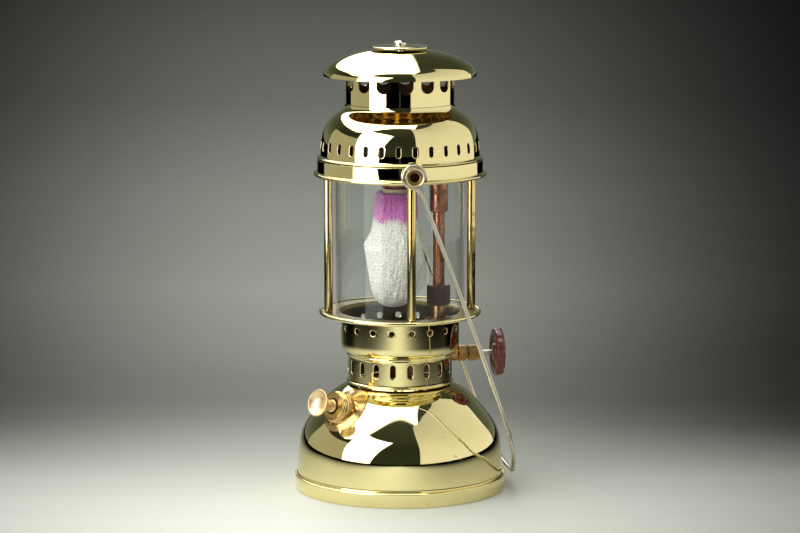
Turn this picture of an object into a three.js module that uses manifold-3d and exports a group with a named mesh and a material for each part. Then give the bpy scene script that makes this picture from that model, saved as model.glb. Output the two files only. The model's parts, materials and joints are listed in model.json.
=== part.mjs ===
// A brass kerosene pressure lantern: tank with hand pump, vaporizer, glass globe in a four-post cage,
// burner with a hanging cloth mantle, vented hood and a wire bail.
// Millimetres, +Z up. The origin is the middle of the base, where the lantern stands.
// +X points along the control spindle, and the bail's two pivots lie on the Y axis.
import * as THREE from "three";
import { mergeVertices } from "three/addons/utils/BufferGeometryUtils.js";
import Module from "manifold-3d";

const wasm = await Module();
wasm.setup();

// ---- driving dimensions -------------------------------------------------------------------------

const ROUND = 30; // sides of the large sheet-metal shells
const MEDIUM = 18; // sides of pieces about 20 mm across
const SMALL = 12; // sides of rods and screws
const GAP = 0.3; // between two pieces that touch
const SHEET = 0.9; // brass sheet

// Base and tank
const BASE_RADIUS = 85;
const FOOT_HEIGHT = 11.5;
const FOOT_WIDTH = 2.1;
// Outside of the tank from just above the foot ring to its top: [radius, height].
const TANK_PROFILE = [
  [82.6, 2.5], [82.6, 12.1], [83.4, 14], [81.5, 34], [79.9, 43], [77, 51], [72.6, 58], [66.1, 66],
  [58.8, 74.4], [49.7, 81], [39.4, 86], [24, 89.2],
];
const TANK_TOP = 89.6;

// Cage: neck, gallery, posts and top ring
const NECK_BOTTOM = 86.2;
const BAND_RADIUS = 42.2;
const COLLAR_RADIUS = 47.8;
const COLLAR_BOTTOM = 117;
const GALLERY_Z = 143;
const GALLERY_RADIUS = 65.2;
const VENTS_IN_NECK = 19; // the round holes stand over the slots
const FIRST_VENT_DEG = -87.7; // direction of one of them, from +X
const SLOT_WIDTH = 4.4;
const SLOT_HEIGHT = 11.6;
const SLOT_CENTRE_Z = 100.6;
const HOLE_RADIUS = 2.3;
const HOLE_Z = 132.3;
const POST_CIRCLE = 58;
const POST_RADIUS = 3.4;
const TOP_RING_Z = 255;
const TOP_RING_RADIUS = 66.3;
const TOP_RING_TOP = 267;
const GLOBE_RADIUS = 51.6;
const GLOBE_WALL = 2;

// Hood
const HOOD_BOTTOM = 259;
const CHIMNEY_RADIUS = 43.2;
const CHIMNEY_BOTTOM = 311.5;
const CHIMNEY_TOP = 347;
const DOME_SLOTS = 30;
const FIRST_DOME_SLOT_DEG = -88;
const OUTLETS = 15; // slots in the chimney, open at the top
const FIRST_OUTLET_DEG = -92.4;
const OUTLET_WIDTH = 12.3;
const OUTLET_BOTTOM = 322;
const CAP_RIM_Z = 333.5;
const WASHER_Z = 354.5;
const TOTAL_HEIGHT = 361;

// Bail
const PIVOT_Z = 260.4;
const BAIL_HALF_WIDTH = 71.4;
const BAIL_END = [86.9, 13]; // where the middle of the bar rests against the foot ring: x, z
const BAIL_WIRE = 1.7;
// Half of the arched bar in the bail's own plane: [distance from its middle, height above its lowest point].
const BAIL_ARCH = [
  [74.5, 110], [77, 56], [74.8, 39], [69.6, 29], [61, 22], [50, 15.4], [39, 8.6], [30, 4.2], [20, 1.2], [10, 0.2], [0, 0],
];
const EYE_RADIUS = 8.4;

// Pump: its axis leaves the tank's shoulder at this radius and height, rising outwards
const PUMP_DIRECTION_DEG = -145.3; // from +X
const PUMP_TILT_DEG = 17.5;
const PUMP_EXIT = [62, 71.7];
const BARREL_RADIUS = 10.8;
const BARREL_LENGTH = 125;

// Filler, behind the neck, square to the tank's shoulder
const FILLER_DIRECTION_DEG = 90;
const FILLER_EXIT = [57, 76.2];
const FILLER_TILT_DEG = 58; // above the horizon

// Vaporizer, control valve and burner
const VAPORIZER_X = 31.5;
const SPINDLE_Z = 107.6;
const SPINDLE_RADIUS = 2.1;
const ECCENTRIC = 1.5;
const WHEEL_INNER_X = 76.7;
const WHEEL_OUTER_X = 83.4;
const WHEEL_RADIUS = 19.4;
const BURNER_X = -3;
const NOZZLE_TOP = 243;
const MANTLE_BOTTOM = 147.5;
const MANTLE_X = -4.5;

// ---- materials ----------------------------------------------------------------------------------

const finish = (color, metalness, roughness, extra = {}) =>
  new THREE.MeshStandardMaterial({ color, metalness, roughness, ...extra });

const MATERIALS = {
  polishedBrass: finish(0xe3d28c, 1, 0.08),
  plainBrass: finish(0xb8924a, 1, 0.3),
  copper: finish(0xa8603c, 1, 0.35),
  steel: finish(0x9a9a98, 1, 0.35),
  nickel: finish(0xd8d4c8, 1, 0.15),
  phenolic: finish(0x4a0f0c, 0, 0.3),
  glass: finish(0xf4fbf8, 0, 0.02, { transparent: true, opacity: 0.2 }),
  cloth: finish(0xf2f0e8, 0, 0.9),
  ceramic: finish(0xe8d9bc, 0, 0.6),
  leather: finish(0x5a3a22, 0, 0.8),
  rubber: finish(0x20201f, 0, 0.8),
  enamel: finish(0xf3f1ea, 0, 0.4),
};

// ---- shape helpers ------------------------------------------------------------------------------

const radians = THREE.MathUtils.degToRad;

// A closed geometry as a solid that manifold-3d can cut and join.
function solid(geometry) {
  const source = geometry.index ? geometry.toNonIndexed() : geometry;
  const bare = new THREE.BufferGeometry().setAttribute("position", source.getAttribute("position"));
  const merged = mergeVertices(bare, 1e-4);
  const triangles = [];
  for (let i = 0; i < merged.index.count; i += 3) {
    const corners = [0, 1, 2].map((k) => merged.index.getX(i + k));
    if (new Set(corners).size === 3) triangles.push(corners);
  }
  const vertProperties = merged.attributes.position.array;
  const build = (faces) =>
    new wasm.Manifold(new wasm.Mesh({ numProp: 3, vertProperties, triVerts: new Uint32Array(faces.flat()) }));
  const made = build(triangles);
  return made.volume() < 0 ? build(triangles.map(([a, b, c]) => [a, c, b])) : made;
}

// The surface made by turning a closed outline of [radius, height] points about the Z axis.
function turned(outline, sides = MEDIUM) {
  const points = [...outline, outline[0]].map(([r, z]) => new THREE.Vector2(r, z));
  return solid(new THREE.LatheGeometry(points, sides).rotateX(Math.PI / 2));
}

const tube = (inner, outer, low, high, sides) =>
  turned([[inner, low], [outer, low], [outer, high], [inner, high]], sides);

const rod = (radius, low, high, sides = SMALL) => turned([[0, low], [radius, low], [radius, high], [0, high]], sides);

// Sheet of even thickness whose outside follows the points, as a closed outline.
function sheetOutline(outside, thickness = SHEET) {
  const inside = outside.map((point, i) => {
    const before = outside[Math.max(i - 1, 0)];
    const after = outside[Math.min(i + 1, outside.length - 1)];
    const along = new THREE.Vector2(after[0] - before[0], after[1] - before[1]).normalize();
    return [Math.max(point[0] - along.y * thickness, 0), point[1] + along.x * thickness];
  });
  return [...outside, ...inside.reverse()];
}

const shell = (outside, sides = ROUND, thickness = SHEET) => turned(sheetOutline(outside, thickness), sides);

function box(x, y, z) {
  const size = [x, y, z].map(([low, high]) => high - low);
  const middle = [x, y, z].map(([low, high]) => (low + high) / 2);
  return solid(new THREE.BoxGeometry(...size).translate(...middle));
}

// A six-sided prism standing on Z with a flat towards +X.
function hexagon(acrossFlats, low, high) {
  const geometry = new THREE.CylinderGeometry(acrossFlats / Math.sqrt(3), acrossFlats / Math.sqrt(3), high - low, 6);
  return solid(geometry.rotateY(Math.PI / 6).rotateX(Math.PI / 2).rotateZ(Math.PI / 2).translate(0, 0, (low + high) / 2));
}

const placed = (shape, matrix) => shape.transform(matrix.elements);
const shifted = (shape, x, y, z) => placed(shape, new THREE.Matrix4().makeTranslation(x, y, z));
const spun = (shape, degrees) => placed(shape, new THREE.Matrix4().makeRotationZ(radians(degrees)));
const joined = (shapes) => shapes.reduce((all, shape) => all.add(shape));

// Puts a shape standing on Z along +X instead, at a height above the base.
const alongX = (shape, height) =>
  placed(shape, new THREE.Matrix4().makeTranslation(0, 0, height).multiply(new THREE.Matrix4().makeRotationY(Math.PI / 2)));

// Puts a shape standing on Z onto an axis that leaves the tank at [radius, height], tilted above the horizon.
function onTank(shape, directionDeg, [radius, height], tiltDeg) {
  const matrix = new THREE.Matrix4()
    .makeRotationZ(radians(directionDeg))
    .multiply(new THREE.Matrix4().makeTranslation(radius, 0, height))
    .multiply(new THREE.Matrix4().makeRotationY(radians(90 - tiltDeg)));
  return placed(shape, matrix);
}

const onPump = (shape) => onTank(shape, PUMP_DIRECTION_DEG, PUMP_EXIT, PUMP_TILT_DEG);
const onFiller = (shape) => onTank(shape, FILLER_DIRECTION_DEG, FILLER_EXIT, FILLER_TILT_DEG);

// An upright slot with clipped corners that points along +X from one radius to another.
function slotCutter(width, height, middleZ, inner, outer) {
  const [w, h, clip] = [width / 2, height / 2, width * 0.3];
  const corners = [[w, clip - h], [w, h - clip], [w - clip, h], [clip - w, h], [-w, h - clip], [-w, clip - h],
    [clip - w, -h], [w - clip, -h]];
  const outline = new THREE.Shape(corners.map(([x, y]) => new THREE.Vector2(x, y)));
  const geometry = new THREE.ExtrudeGeometry(outline, { depth: outer - inner, bevelEnabled: false });
  const frame = new THREE.Matrix4().makeBasis(
    new THREE.Vector3(0, 1, 0),
    new THREE.Vector3(0, 0, 1),
    new THREE.Vector3(1, 0, 0),
  );
  return solid(geometry.applyMatrix4(frame).translate(inner, 0, middleZ));
}

const around = (shape, count, firstDeg) =>
  joined(Array.from({ length: count }, (_, i) => spun(shape, firstDeg + (i * 360) / count)));

// A path whose stations are its own points instead of being evenly spaced along it.
class Route extends THREE.CatmullRomCurve3 {
  getPointAt(share, target) {
    return this.getPoint(share, target);
  }

  getTangentAt(share, target) {
    return this.getTangent(share, target);
  }
}

// A round wire or pipe along a list of points.
function wire(points, radius, sides = 8, inner = 0) {
  const section = new THREE.Shape();
  section.absarc(0, 0, radius, 0, 2 * Math.PI);
  if (inner) section.holes.push(new THREE.Path().absarc(0, 0, inner, 0, 2 * Math.PI));
  const extrudePath = new Route(points, false, "centripetal");
  const options = { steps: points.length - 1, extrudePath, bevelEnabled: false, curveSegments: sides / 2 };
  return solid(new THREE.ExtrudeGeometry(section, options));
}

// ---- the lantern --------------------------------------------------------------------------------

const lantern = new THREE.Group();

function piece(name, shape, material) {
  const made = shape.getMesh();
  const corners = new Float32Array(made.numVert * 3);
  for (let i = 0; i < made.numVert; i++) {
    corners.set(made.vertProperties.subarray(i * made.numProp, i * made.numProp + 3), i * 3);
  }
  const geometry = new THREE.BufferGeometry()
    .setAttribute("position", new THREE.BufferAttribute(corners, 3))
    .setIndex(new THREE.BufferAttribute(made.triVerts, 1));
  const mesh = new THREE.Mesh(geometry, MATERIALS[material]);
  mesh.name = name;
  lantern.add(mesh);
}

// Tank: a spun brass vessel on a foot ring, closed below by a dished plate.
function addTank() {
  const boss = shifted(rod(8.2, 80, 95, MEDIUM), VAPORIZER_X, 0, 0);
  const pumpHole = onPump(rod(BARREL_RADIUS + GAP, -30, 30, MEDIUM));
  const fillerHole = onFiller(rod(12.3, -12, 20, MEDIUM));
  const vessel = shell([...TANK_PROFILE, [0, TANK_TOP]], ROUND, 1);
  piece("tank_shell", vessel.subtract(boss).subtract(pumpHole).subtract(fillerHole), "polishedBrass");
  const inside = TANK_PROFILE[0][0] - 1 - GAP;
  piece("tank_bottom_plate", turned([[0, 7.5], [60, 5.5], [inside, 3], [inside, 4.2], [60, 6.7], [0, 8.7]], ROUND), "plainBrass");
  const inner = BASE_RADIUS - FOOT_WIDTH;
  const foot = [[inner, 0], [BASE_RADIUS - 0.5, 0], [BASE_RADIUS, 0.6], [BASE_RADIUS, FOOT_HEIGHT - 0.9],
    [BASE_RADIUS - 0.8, FOOT_HEIGHT], [inner, FOOT_HEIGHT]];
  piece("foot_ring", turned(foot, ROUND), "polishedBrass");
  piece("cage_seat_ring", tube(39.9, 40.9, 86.4, 96, ROUND), "plainBrass");
  piece("tank_boss", shifted(tube(5.3, 7.9, 83.5, 90.5), VAPORIZER_X, 0, 0), "plainBrass");
}

// Hand pump: fixed barrel, screwed cap and valve body, and the plunger that slides in them.
function addPump() {
  piece("pump_barrel", onPump(tube(BARREL_RADIUS - 1.2, BARREL_RADIUS, -BARREL_LENGTH, 9)), "plainBrass");
  const cap = [[6.5, 9.5], [6.5, 12], [11.4, 12], [12.6, 11], [12.6, 5.4], [11.1, 5.4], [11.1, 9.5]];
  piece("pump_cap", onPump(turned(cap)), "plainBrass");
  const end = -BARREL_LENGTH - GAP;
  const body = [[3.2, end], [BARREL_RADIUS, end], [BARREL_RADIUS, end - 5], [6, end - 8], [6, end - 14], [1.5, end - 14],
    [1.5, end - 12], [3.2, end - 12]];
  piece("pump_valve_body", onPump(turned(body)), "plainBrass");
  piece("check_valve_poppet", onPump(turned([[0, end - 9], [2.6, end - 9], [2.6, end - 4], [0, end - 1.5]], SMALL)), "rubber");

  const socket = 2.2 + GAP;
  const knob = turned([[0, 19.5], [socket, 19.5], [socket, 9], [5, 9], [5, 18], [5.6, 22], [7.4, 25], [10.4, 27.4],
    [11, 28.6], [10.2, 28.8], [6.6, 26.6], [0, 25.2]]);
  piece("pump_knob", onPump(knob), "plainBrass");
  piece("plunger_rod", onPump(rod(2.2, -114, 19.2)), "steel");
  piece("piston_washer_outer", onPump(tube(2.5, 8.4, -104, -102.5)), "plainBrass");
  const leather = [[2.5, -106.5], [2.5, -104.3], [9.3, -104.3], [9.3, -113.5], [7.6, -113.5], [7.6, -106.5]];
  piece("piston_leather_cup", onPump(turned(leather)), "leather");
  piece("piston_nut", onPump(hexagon(7.5, -110.5, -106.8).subtract(rod(2.5, -112, -105))), "plainBrass");
}

// Filler neck and its screw cap, which carries a pressure gauge and a release screw.
function addFiller() {
  piece("filler_neck", onFiller(tube(9.5, 12, -4, 8)), "plainBrass");
  piece("filler_gasket", onFiller(tube(9.8, 12, 8.3, 9.7)), "rubber");
  const cap = turned([[0, 10], [12.4, 10], [12.4, 2], [15.2, 2], [15.2, 11.4], [14.2, 12.2], [0, 12.2]]);
  const screwHole = placed(rod(2.1, 10, 20), new THREE.Matrix4().makeTranslation(0, 0, 6).multiply(
    new THREE.Matrix4().makeRotationX(Math.PI / 2)));
  piece("filler_cap", onFiller(cap.subtract(screwHole)), "plainBrass");
  piece("gauge_case", onFiller(turned([[0, 12.5], [13, 12.5], [13, 19.6], [11.9, 19.6], [11.9, 13.5], [0, 13.5]])), "polishedBrass");
  piece("gauge_dial", onFiller(rod(11.5, 13.8, 14.4, MEDIUM)), "enamel");
  const pointer = rod(1.5, 14.8, 15.8).add(box([-2.5, 9], [-0.45, 0.45], [14.9, 15.5]));
  piece("gauge_pointer", onFiller(pointer), "steel");
  piece("gauge_lens", onFiller(turned([[0, 17.4], [11.5, 17.4], [11.5, 18.6], [6, 19.3], [0, 19.6]])), "glass");
  const screw = turned([[0, 13], [1.8, 13], [1.8, 17.5], [4, 18], [4, 23], [3.4, 23.6], [0, 23.6]], SMALL);
  const sideways = new THREE.Matrix4().makeTranslation(0, 0, 6).multiply(new THREE.Matrix4().makeRotationX(Math.PI / 2));
  piece("release_screw", onFiller(placed(screw, sideways)), "plainBrass");
}

// Carburettor: the body that takes fuel from the tank up to the vaporizer, with its control valve.
function addCarburettor() {
  const upright = joined([rod(5, 84, 97, MEDIUM), rod(9, 96.8, 121, MEDIUM), rod(5.8, 120, 155, MEDIUM)]);
  const passage = rod(3.2, 83, 156).add(rod(6.5, 101, 116, MEDIUM));
  const arm = alongX(rod(6.2, 0, 47 - VAPORIZER_X, MEDIUM).add(rod(4.4, 10, 60 - VAPORIZER_X, MEDIUM)), SPINDLE_Z);
  const armBore = alongX(rod(4.1, 0, 8.5, MEDIUM).add(rod(SPINDLE_RADIUS + GAP, 0, 40)), SPINDLE_Z);
  const body = upright.add(arm).subtract(passage).subtract(armBore);
  piece("carburettor_body", shifted(body, VAPORIZER_X, 0, 0), "plainBrass");
  piece("carburettor_nut", shifted(hexagon(14, 90.8, 96.4).subtract(rod(5.3, 90, 98, MEDIUM)), VAPORIZER_X, 0, 0), "plainBrass");
  piece("fuel_pickup_tube", shifted(tube(2, 3, 12, 83.6, SMALL), VAPORIZER_X, 0, 0), "copper");

  const stem = rod(4.7, 47, 60.4, MEDIUM);
  piece("valve_lock_nut", alongX(hexagon(12, 47.3, 53.5).subtract(stem), SPINDLE_Z), "plainBrass");
  const packing = hexagon(12, 55.3, 66.2).subtract(stem).subtract(rod(SPINDLE_RADIUS + GAP, 50, 70));
  piece("packing_nut", alongX(packing, SPINDLE_Z), "plainBrass");

  const crank = joined([
    rod(SPINDLE_RADIUS, 36.5, WHEEL_OUTER_X - 1.8),
    rod(3.4, 36, 37.8),
    shifted(rod(0.9, 33, 36.4), ECCENTRIC, 0, 0),
  ]);
  piece("control_spindle", alongX(crank, SPINDLE_Z), "steel");

  const lobes = 12;
  const rim = new THREE.Shape();
  for (let i = 0; i < lobes * 4; i++) {
    const angle = (i / (lobes * 4)) * 2 * Math.PI;
    const radius = WHEEL_RADIUS - 0.5 + 0.5 * Math.cos(lobes * angle);
    rim[i ? "lineTo" : "moveTo"](radius * Math.cos(angle), radius * Math.sin(angle));
  }
  const thickness = WHEEL_OUTER_X - WHEEL_INNER_X;
  const disc = solid(new THREE.ExtrudeGeometry(rim, { depth: thickness, bevelEnabled: false }).translate(0, 0, WHEEL_INNER_X));
  const recess = tube(7, 15.5, WHEEL_INNER_X - 1, WHEEL_INNER_X + 2.2);
  const seat = rod(4.2, WHEEL_OUTER_X - 1.8, WHEEL_OUTER_X + 1);
  const wheel = disc.subtract(recess).subtract(seat).subtract(rod(SPINDLE_RADIUS + GAP, 70, 90));
  piece("control_wheel", alongX(wheel, SPINDLE_Z), "phenolic");
  piece("wheel_screw", alongX(turned([[0, 81.9], [3.4, 81.9], [3.4, 82.8], [2.2, 83.6], [0, 83.8]], SMALL), SPINDLE_Z), "nickel");
}

// Vaporizer: the heated tube beside the mantle, its union nut, the jet and the cleaning needle.
function addVaporizer() {
  const at = (shape) => shifted(shape, VAPORIZER_X, 0, 0);
  const cup = [[6.1, 124], [11.3, 124], [11.3, 136], [10.5, 136], [10.5, 124.8], [6.1, 124.8]];
  piece("preheating_cup", at(turned(cup)), "plainBrass");
  const nut = hexagon(16.4, 147.7, 164.1).subtract(rod(6.1, 147, 155.6, MEDIUM)).subtract(rod(5, 150, 165, MEDIUM));
  piece("vaporizer_nut", at(nut), "copper");
  piece("vaporizer_tube", at(tube(3, 4.7, 155.9, 250)), "copper");
  piece("vaporizer_sleeve", at(tube(5, 7.2, 223.4, 250)), "copper");
  const jet = [[1.6, 250.4], [5.4, 250.4], [5.4, 253], [3.2, 254], [2.6, 261], [0.8, 262], [0.8, 257.8], [1.6, 257.8]];
  piece("jet", at(turned(jet, SMALL)), "plainBrass");
  const yoke = box([1.4, 3.7], [-4.2, 4.2], [103.4, 110.8]).subtract(box([0, 5], [-3, 3], [104.6, 107.6]));
  const needle = joined([yoke, box([-1, 3], [-1, 1], [108.8, 110.8]), rod(1.2, 108.8, 254), rod(0.4, 253, 258.5, 8)]);
  piece("cleaning_needle", at(needle), "steel");
}

// Cage: pierced neck with the gallery on top, four posts, the top ring and the glass globe between.
function addCage() {
  const neck = [
    [BAND_RADIUS + 0.8, NECK_BOTTOM], [BAND_RADIUS + 0.8, NECK_BOTTOM + 1.6], [BAND_RADIUS, NECK_BOTTOM + 2.6],
    [BAND_RADIUS, 109.8], [COLLAR_RADIUS - 2, 113.2], [COLLAR_RADIUS, COLLAR_BOTTOM],
    [COLLAR_RADIUS, GALLERY_Z - 1.4], [COLLAR_RADIUS + 1.4, GALLERY_Z], [GALLERY_RADIUS - 2.6, GALLERY_Z],
  ];
  const rolled = turned(
    [[GALLERY_RADIUS - 3, GALLERY_Z - 0.8], [GALLERY_RADIUS - 1, GALLERY_Z - 1.6], [GALLERY_RADIUS, GALLERY_Z],
      [GALLERY_RADIUS, GALLERY_Z + 1.2], [GALLERY_RADIUS - 1.4, GALLERY_Z + 1.9], [GALLERY_RADIUS - 3, GALLERY_Z + 1.4]],
    ROUND,
  );
  const slots = around(slotCutter(SLOT_WIDTH, SLOT_HEIGHT, SLOT_CENTRE_Z, 38, 46), VENTS_IN_NECK, FIRST_VENT_DEG);
  const holes = around(alongX(rod(HOLE_RADIUS, 44, 52, 8), HOLE_Z), VENTS_IN_NECK, FIRST_VENT_DEG);
  const notch = box([30, 60], [-7.5, 7.5], [80, 115.5]);
  const base = shell(neck).add(rolled).subtract(slots).subtract(holes).subtract(notch);
  piece("cage_base", base, "polishedBrass");

  ["right", "back", "left", "front"].forEach((side, i) => {
    const post = shifted(rod(POST_RADIUS, GALLERY_Z + 1.3, TOP_RING_Z - GAP), POST_CIRCLE, 0, 0);
    piece("cage_post_" + side, spun(post, i * 90), "polishedBrass");
  });

  const r = TOP_RING_RADIUS;
  const ring = [
    [54, TOP_RING_Z], [r - 1, TOP_RING_Z], [r + 1, TOP_RING_Z - 1.2], [r + 2.4, TOP_RING_Z - 1.2], [r + 2.9, TOP_RING_Z],
    [r + 2.4, TOP_RING_Z + 1], [r, TOP_RING_Z + 1.4], [r, TOP_RING_TOP], [r - 1, TOP_RING_TOP], [r - 1, TOP_RING_Z + 1.2],
    [54, TOP_RING_Z + 1.2],
  ];
  piece("cage_top_ring", turned(ring, ROUND), "polishedBrass");
  piece("globe", tube(GLOBE_RADIUS - GLOBE_WALL, GLOBE_RADIUS, GALLERY_Z + 1.3, TOP_RING_Z + 0.5, ROUND), "glass");
}

// Bail: a wire handle with an eye at each end, each eye on a hollow bush riveted to the top ring.
function addBail() {
  const bush = turned([
    [0, 66.6], [3.6, 66.6], [3.6, 69.4], [5.6, 69.4], [5.6, 73.8], [7.8, 76], [7.6, 77], [6.8, 77], [4.2, 74], [3.4, 70], [0, 70],
  ]);
  const facing = (degrees) =>
    new THREE.Matrix4().makeRotationZ(radians(degrees)).multiply(new THREE.Matrix4().makeRotationY(Math.PI / 2));
  const up = new THREE.Matrix4().makeTranslation(0, 0, PIVOT_Z);
  piece("bail_bush_front", placed(bush, up.clone().multiply(facing(-90))), "plainBrass");
  piece("bail_bush_back", placed(bush, up.clone().multiply(facing(90))), "plainBrass");

  // One half of the wire hanging straight down from the pivot, from the eye's tip to the middle of the bar.
  const length = Math.hypot(BAIL_END[0], PIVOT_Z - BAIL_END[1]);
  const half = [];
  for (let angle = -48; angle <= 246; angle += 42) {
    half.push([EYE_RADIUS * Math.cos(radians(angle)), -BAIL_HALF_WIDTH, EYE_RADIUS * Math.sin(radians(angle))]);
  }
  half.push([-0.4, -BAIL_HALF_WIDTH, -11], [0, -BAIL_HALF_WIDTH, -16], [0, -BAIL_HALF_WIDTH, -70]);
  BAIL_ARCH.forEach(([across, up]) => half.push([0, -across, up - length]));
  const other = half.slice(0, -1).map(([x, y, z]) => [x, -y, z]).reverse();
  const lean = Math.atan2(BAIL_END[0], PIVOT_Z - BAIL_END[1]);
  const points = [...half, ...other].map(([x, y, z]) => {
    const point = new THREE.Vector3(x, y, z).applyAxisAngle(new THREE.Vector3(0, 1, 0), -lean);
    return point.add(new THREE.Vector3(0, 0, PIVOT_Z));
  });
  piece("bail", wire(points, BAIL_WIRE, 6), "nickel");
}

// Burner: inner casing, bent mixing tube, burner head, ceramic nozzle and the cloth mantle tied to it.
function addBurner() {
  const casing = shell([[63, 257.6], [50.2, 257.6], [50.2, 288], [38, 303], [36, 308]]);
  const arm = box([9, 49.8], [-3.5, 3.5], [257.5, 258.7]);
  const spider = joined([shifted(tube(7.9, 13, 257.5, 258.7), BURNER_X, 0, 0), ...[90, 180, 270].map((a) => spun(arm, a))]);
  const throat = shifted(rod(7.9, 250, 265, MEDIUM), BURNER_X, 0, 0);
  piece("inner_casing", casing.add(spider).subtract(throat), "plainBrass");

  const bend = (VAPORIZER_X - BURNER_X) / 2;
  const path = [new THREE.Vector3(VAPORIZER_X, 0, 266), new THREE.Vector3(VAPORIZER_X, 0, 273)];
  for (let angle = 0; angle <= 180; angle += 30) {
    path.push(new THREE.Vector3(BURNER_X + bend + bend * Math.cos(radians(angle)), 0, 280 + bend * Math.sin(radians(angle))));
  }
  path.push(new THREE.Vector3(BURNER_X, 0, 257.5));
  piece("mixing_tube", wire(path, 7.5, 12, 6.4), "plainBrass");

  const at = (shape) => shifted(shape, BURNER_X, 0, 0);
  const head = [[6, NOZZLE_TOP + GAP], [11.4, NOZZLE_TOP + GAP], [13, 249], [13, 257.2], [6, 257.2]];
  piece("burner_head", at(turned(head)), "copper");
  const nozzle = [[4.6, 230], [9.6, 230], [10.2, 231], [10.2, 233], [8.6, 234], [8.6, 236.4], [10.9, 237.4],
    [10.9, NOZZLE_TOP], [4.6, NOZZLE_TOP]];
  piece("ceramic_nozzle", at(turned(nozzle)), "ceramic");

  const outside = [[16, 239.4], [16.6, 231], [18.2, 217], [19.6, 206], [22.3, 195], [22.4, 186], [20.6, 174],
    [17.4, 159], [12.6, 151], [6, 147.8], [0, MANTLE_BOTTOM]];
  const inside = [[0, 148.6], [5.6, 148.9], [11.8, 152], [16.4, 159.6], [19.5, 174.4], [21.2, 186], [21.1, 195],
    [18.5, 206], [17.1, 217], [15.5, 231], [14.9, 239.4]];
  const lean = (MANTLE_X - BURNER_X) / (NOZZLE_TOP - 190);
  const sag = new THREE.Matrix4().set(1, 0, -lean, BURNER_X + lean * 236, 0, 1, 0, 0, 0, 0, 1, 0, 0, 0, 0, 1);
  piece("mantle", placed(turned([...outside, ...inside]), sag), "cloth");
  piece("mantle_tie", at(tube(10.8, 11.6, 234.6, 236)), "cloth");
}

// Hood: pierced dome, chimney with open-topped outlets, and the top cap screwed to a bridge across it.
function addHood() {
  const dome = [
    [64.6, HOOD_BOTTOM], [64.6, TOP_RING_TOP + 0.4], [66.2, TOP_RING_TOP + 0.5], [66.2, TOP_RING_TOP + 1.6],
    [63.6, 270], [62.8, 284], [60.6, 290.6], [55.8, 298.6], [46.5, 306], [CHIMNEY_RADIUS + 0.4, CHIMNEY_BOTTOM - GAP],
  ];
  const vents = around(slotCutter(3.7, 8.7, 278.6, 60, 68), DOME_SLOTS, FIRST_DOME_SLOT_DEG);
  piece("hood_dome", shell(dome).subtract(vents), "polishedBrass");
  const chimney = [CHIMNEY_BOTTOM, OUTLET_BOTTOM, CHIMNEY_TOP].map((z) => [CHIMNEY_RADIUS, z]);
  const outlet = slotCutter(OUTLET_WIDTH, 40, OUTLET_BOTTOM + 20, 38, 48);
  const outlets = around(outlet, OUTLETS, FIRST_OUTLET_DEG);
  piece("hood_chimney", shell(chimney).subtract(outlets), "polishedBrass");

  const reach = CHIMNEY_RADIUS - SHEET - 2 * GAP;
  const strap = box([-reach, reach], [-5, 5], [343.6, 345]).intersect(rod(reach, 340, 350, ROUND));
  const bridge = strap.add(rod(5, 344, 352.6, SMALL)).subtract(rod(2.5 + GAP, 340, 355));
  piece("hood_bridge", bridge, "plainBrass");
  const cap = [[61, CAP_RIM_Z], [59.8, 337.6], [57.4, 341.4], [52.4, 345.9], [41.6, 350.5], [24, 353.9], [2.8, 354.2]];
  piece("top_cap", shell(cap), "polishedBrass");
  piece("cap_washer", tube(2.8, 23.4, WASHER_Z, 356.7, ROUND), "polishedBrass");
  const head = [[0, 345.5], [2.5, 345.5], [2.5, 357], [5.2, 357], [5.2, 359.2], [3.6, 360.6], [0, TOTAL_HEIGHT]];
  const slot = box([-6, 6], [-0.6, 0.6], [359.4, 362]);
  piece("cap_screw", turned(head, SMALL).subtract(slot), "nickel");
}

addTank();
addPump();
addFiller();
addCarburettor();
addVaporizer();
addCage();
addBail();
addBurner();
addHood();

export default lantern;
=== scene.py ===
"""A polished brass kerosene pressure lantern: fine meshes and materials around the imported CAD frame.

Lengths in this script are millimetres, turned into metres when a mesh is made.
Directions round the lantern are degrees from +X, as in the CAD.
"""
import json
import math

import bmesh
import bpy
import numpy as np
from mathutils import Matrix, Vector, noise


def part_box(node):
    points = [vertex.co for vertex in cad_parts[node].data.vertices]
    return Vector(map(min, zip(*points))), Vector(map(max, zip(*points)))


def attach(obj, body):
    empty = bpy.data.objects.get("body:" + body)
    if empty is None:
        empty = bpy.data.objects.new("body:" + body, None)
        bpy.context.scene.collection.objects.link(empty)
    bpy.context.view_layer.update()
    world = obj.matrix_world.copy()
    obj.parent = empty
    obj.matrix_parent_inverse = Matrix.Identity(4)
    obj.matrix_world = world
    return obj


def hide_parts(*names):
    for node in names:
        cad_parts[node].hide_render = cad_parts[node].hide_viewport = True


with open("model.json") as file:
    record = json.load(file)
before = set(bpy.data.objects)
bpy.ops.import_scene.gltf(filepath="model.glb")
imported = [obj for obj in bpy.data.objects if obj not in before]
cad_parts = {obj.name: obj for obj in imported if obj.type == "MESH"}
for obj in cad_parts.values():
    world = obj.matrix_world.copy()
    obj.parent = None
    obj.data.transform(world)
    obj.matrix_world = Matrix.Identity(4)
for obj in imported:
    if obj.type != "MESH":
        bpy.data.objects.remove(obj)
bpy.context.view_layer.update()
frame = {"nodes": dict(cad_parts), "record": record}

MM = 0.001
PIVOT_Z = 260.4  # height of the bail's pivots
BEHAVIOUR = frame["record"]["behaviour"]
BODY_OF = {node: body for body, nodes in BEHAVIOUR["bodies"].items() for node in nodes}
SLOT_OF = {entry["node"]: entry["material_slot"] for entry in frame["record"]["subparts"]}


def node_box(node):
    """Lowest and highest corner of a CAD node, in millimetres."""
    low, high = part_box(node)
    return np.array(low) / MM, np.array(high) / MM


def low_z(node):
    return node_box(node)[0][2]


def high_z(node):
    return node_box(node)[1][2]


# ---- camera, floor and light ---------------------------------------------------------------------

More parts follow.
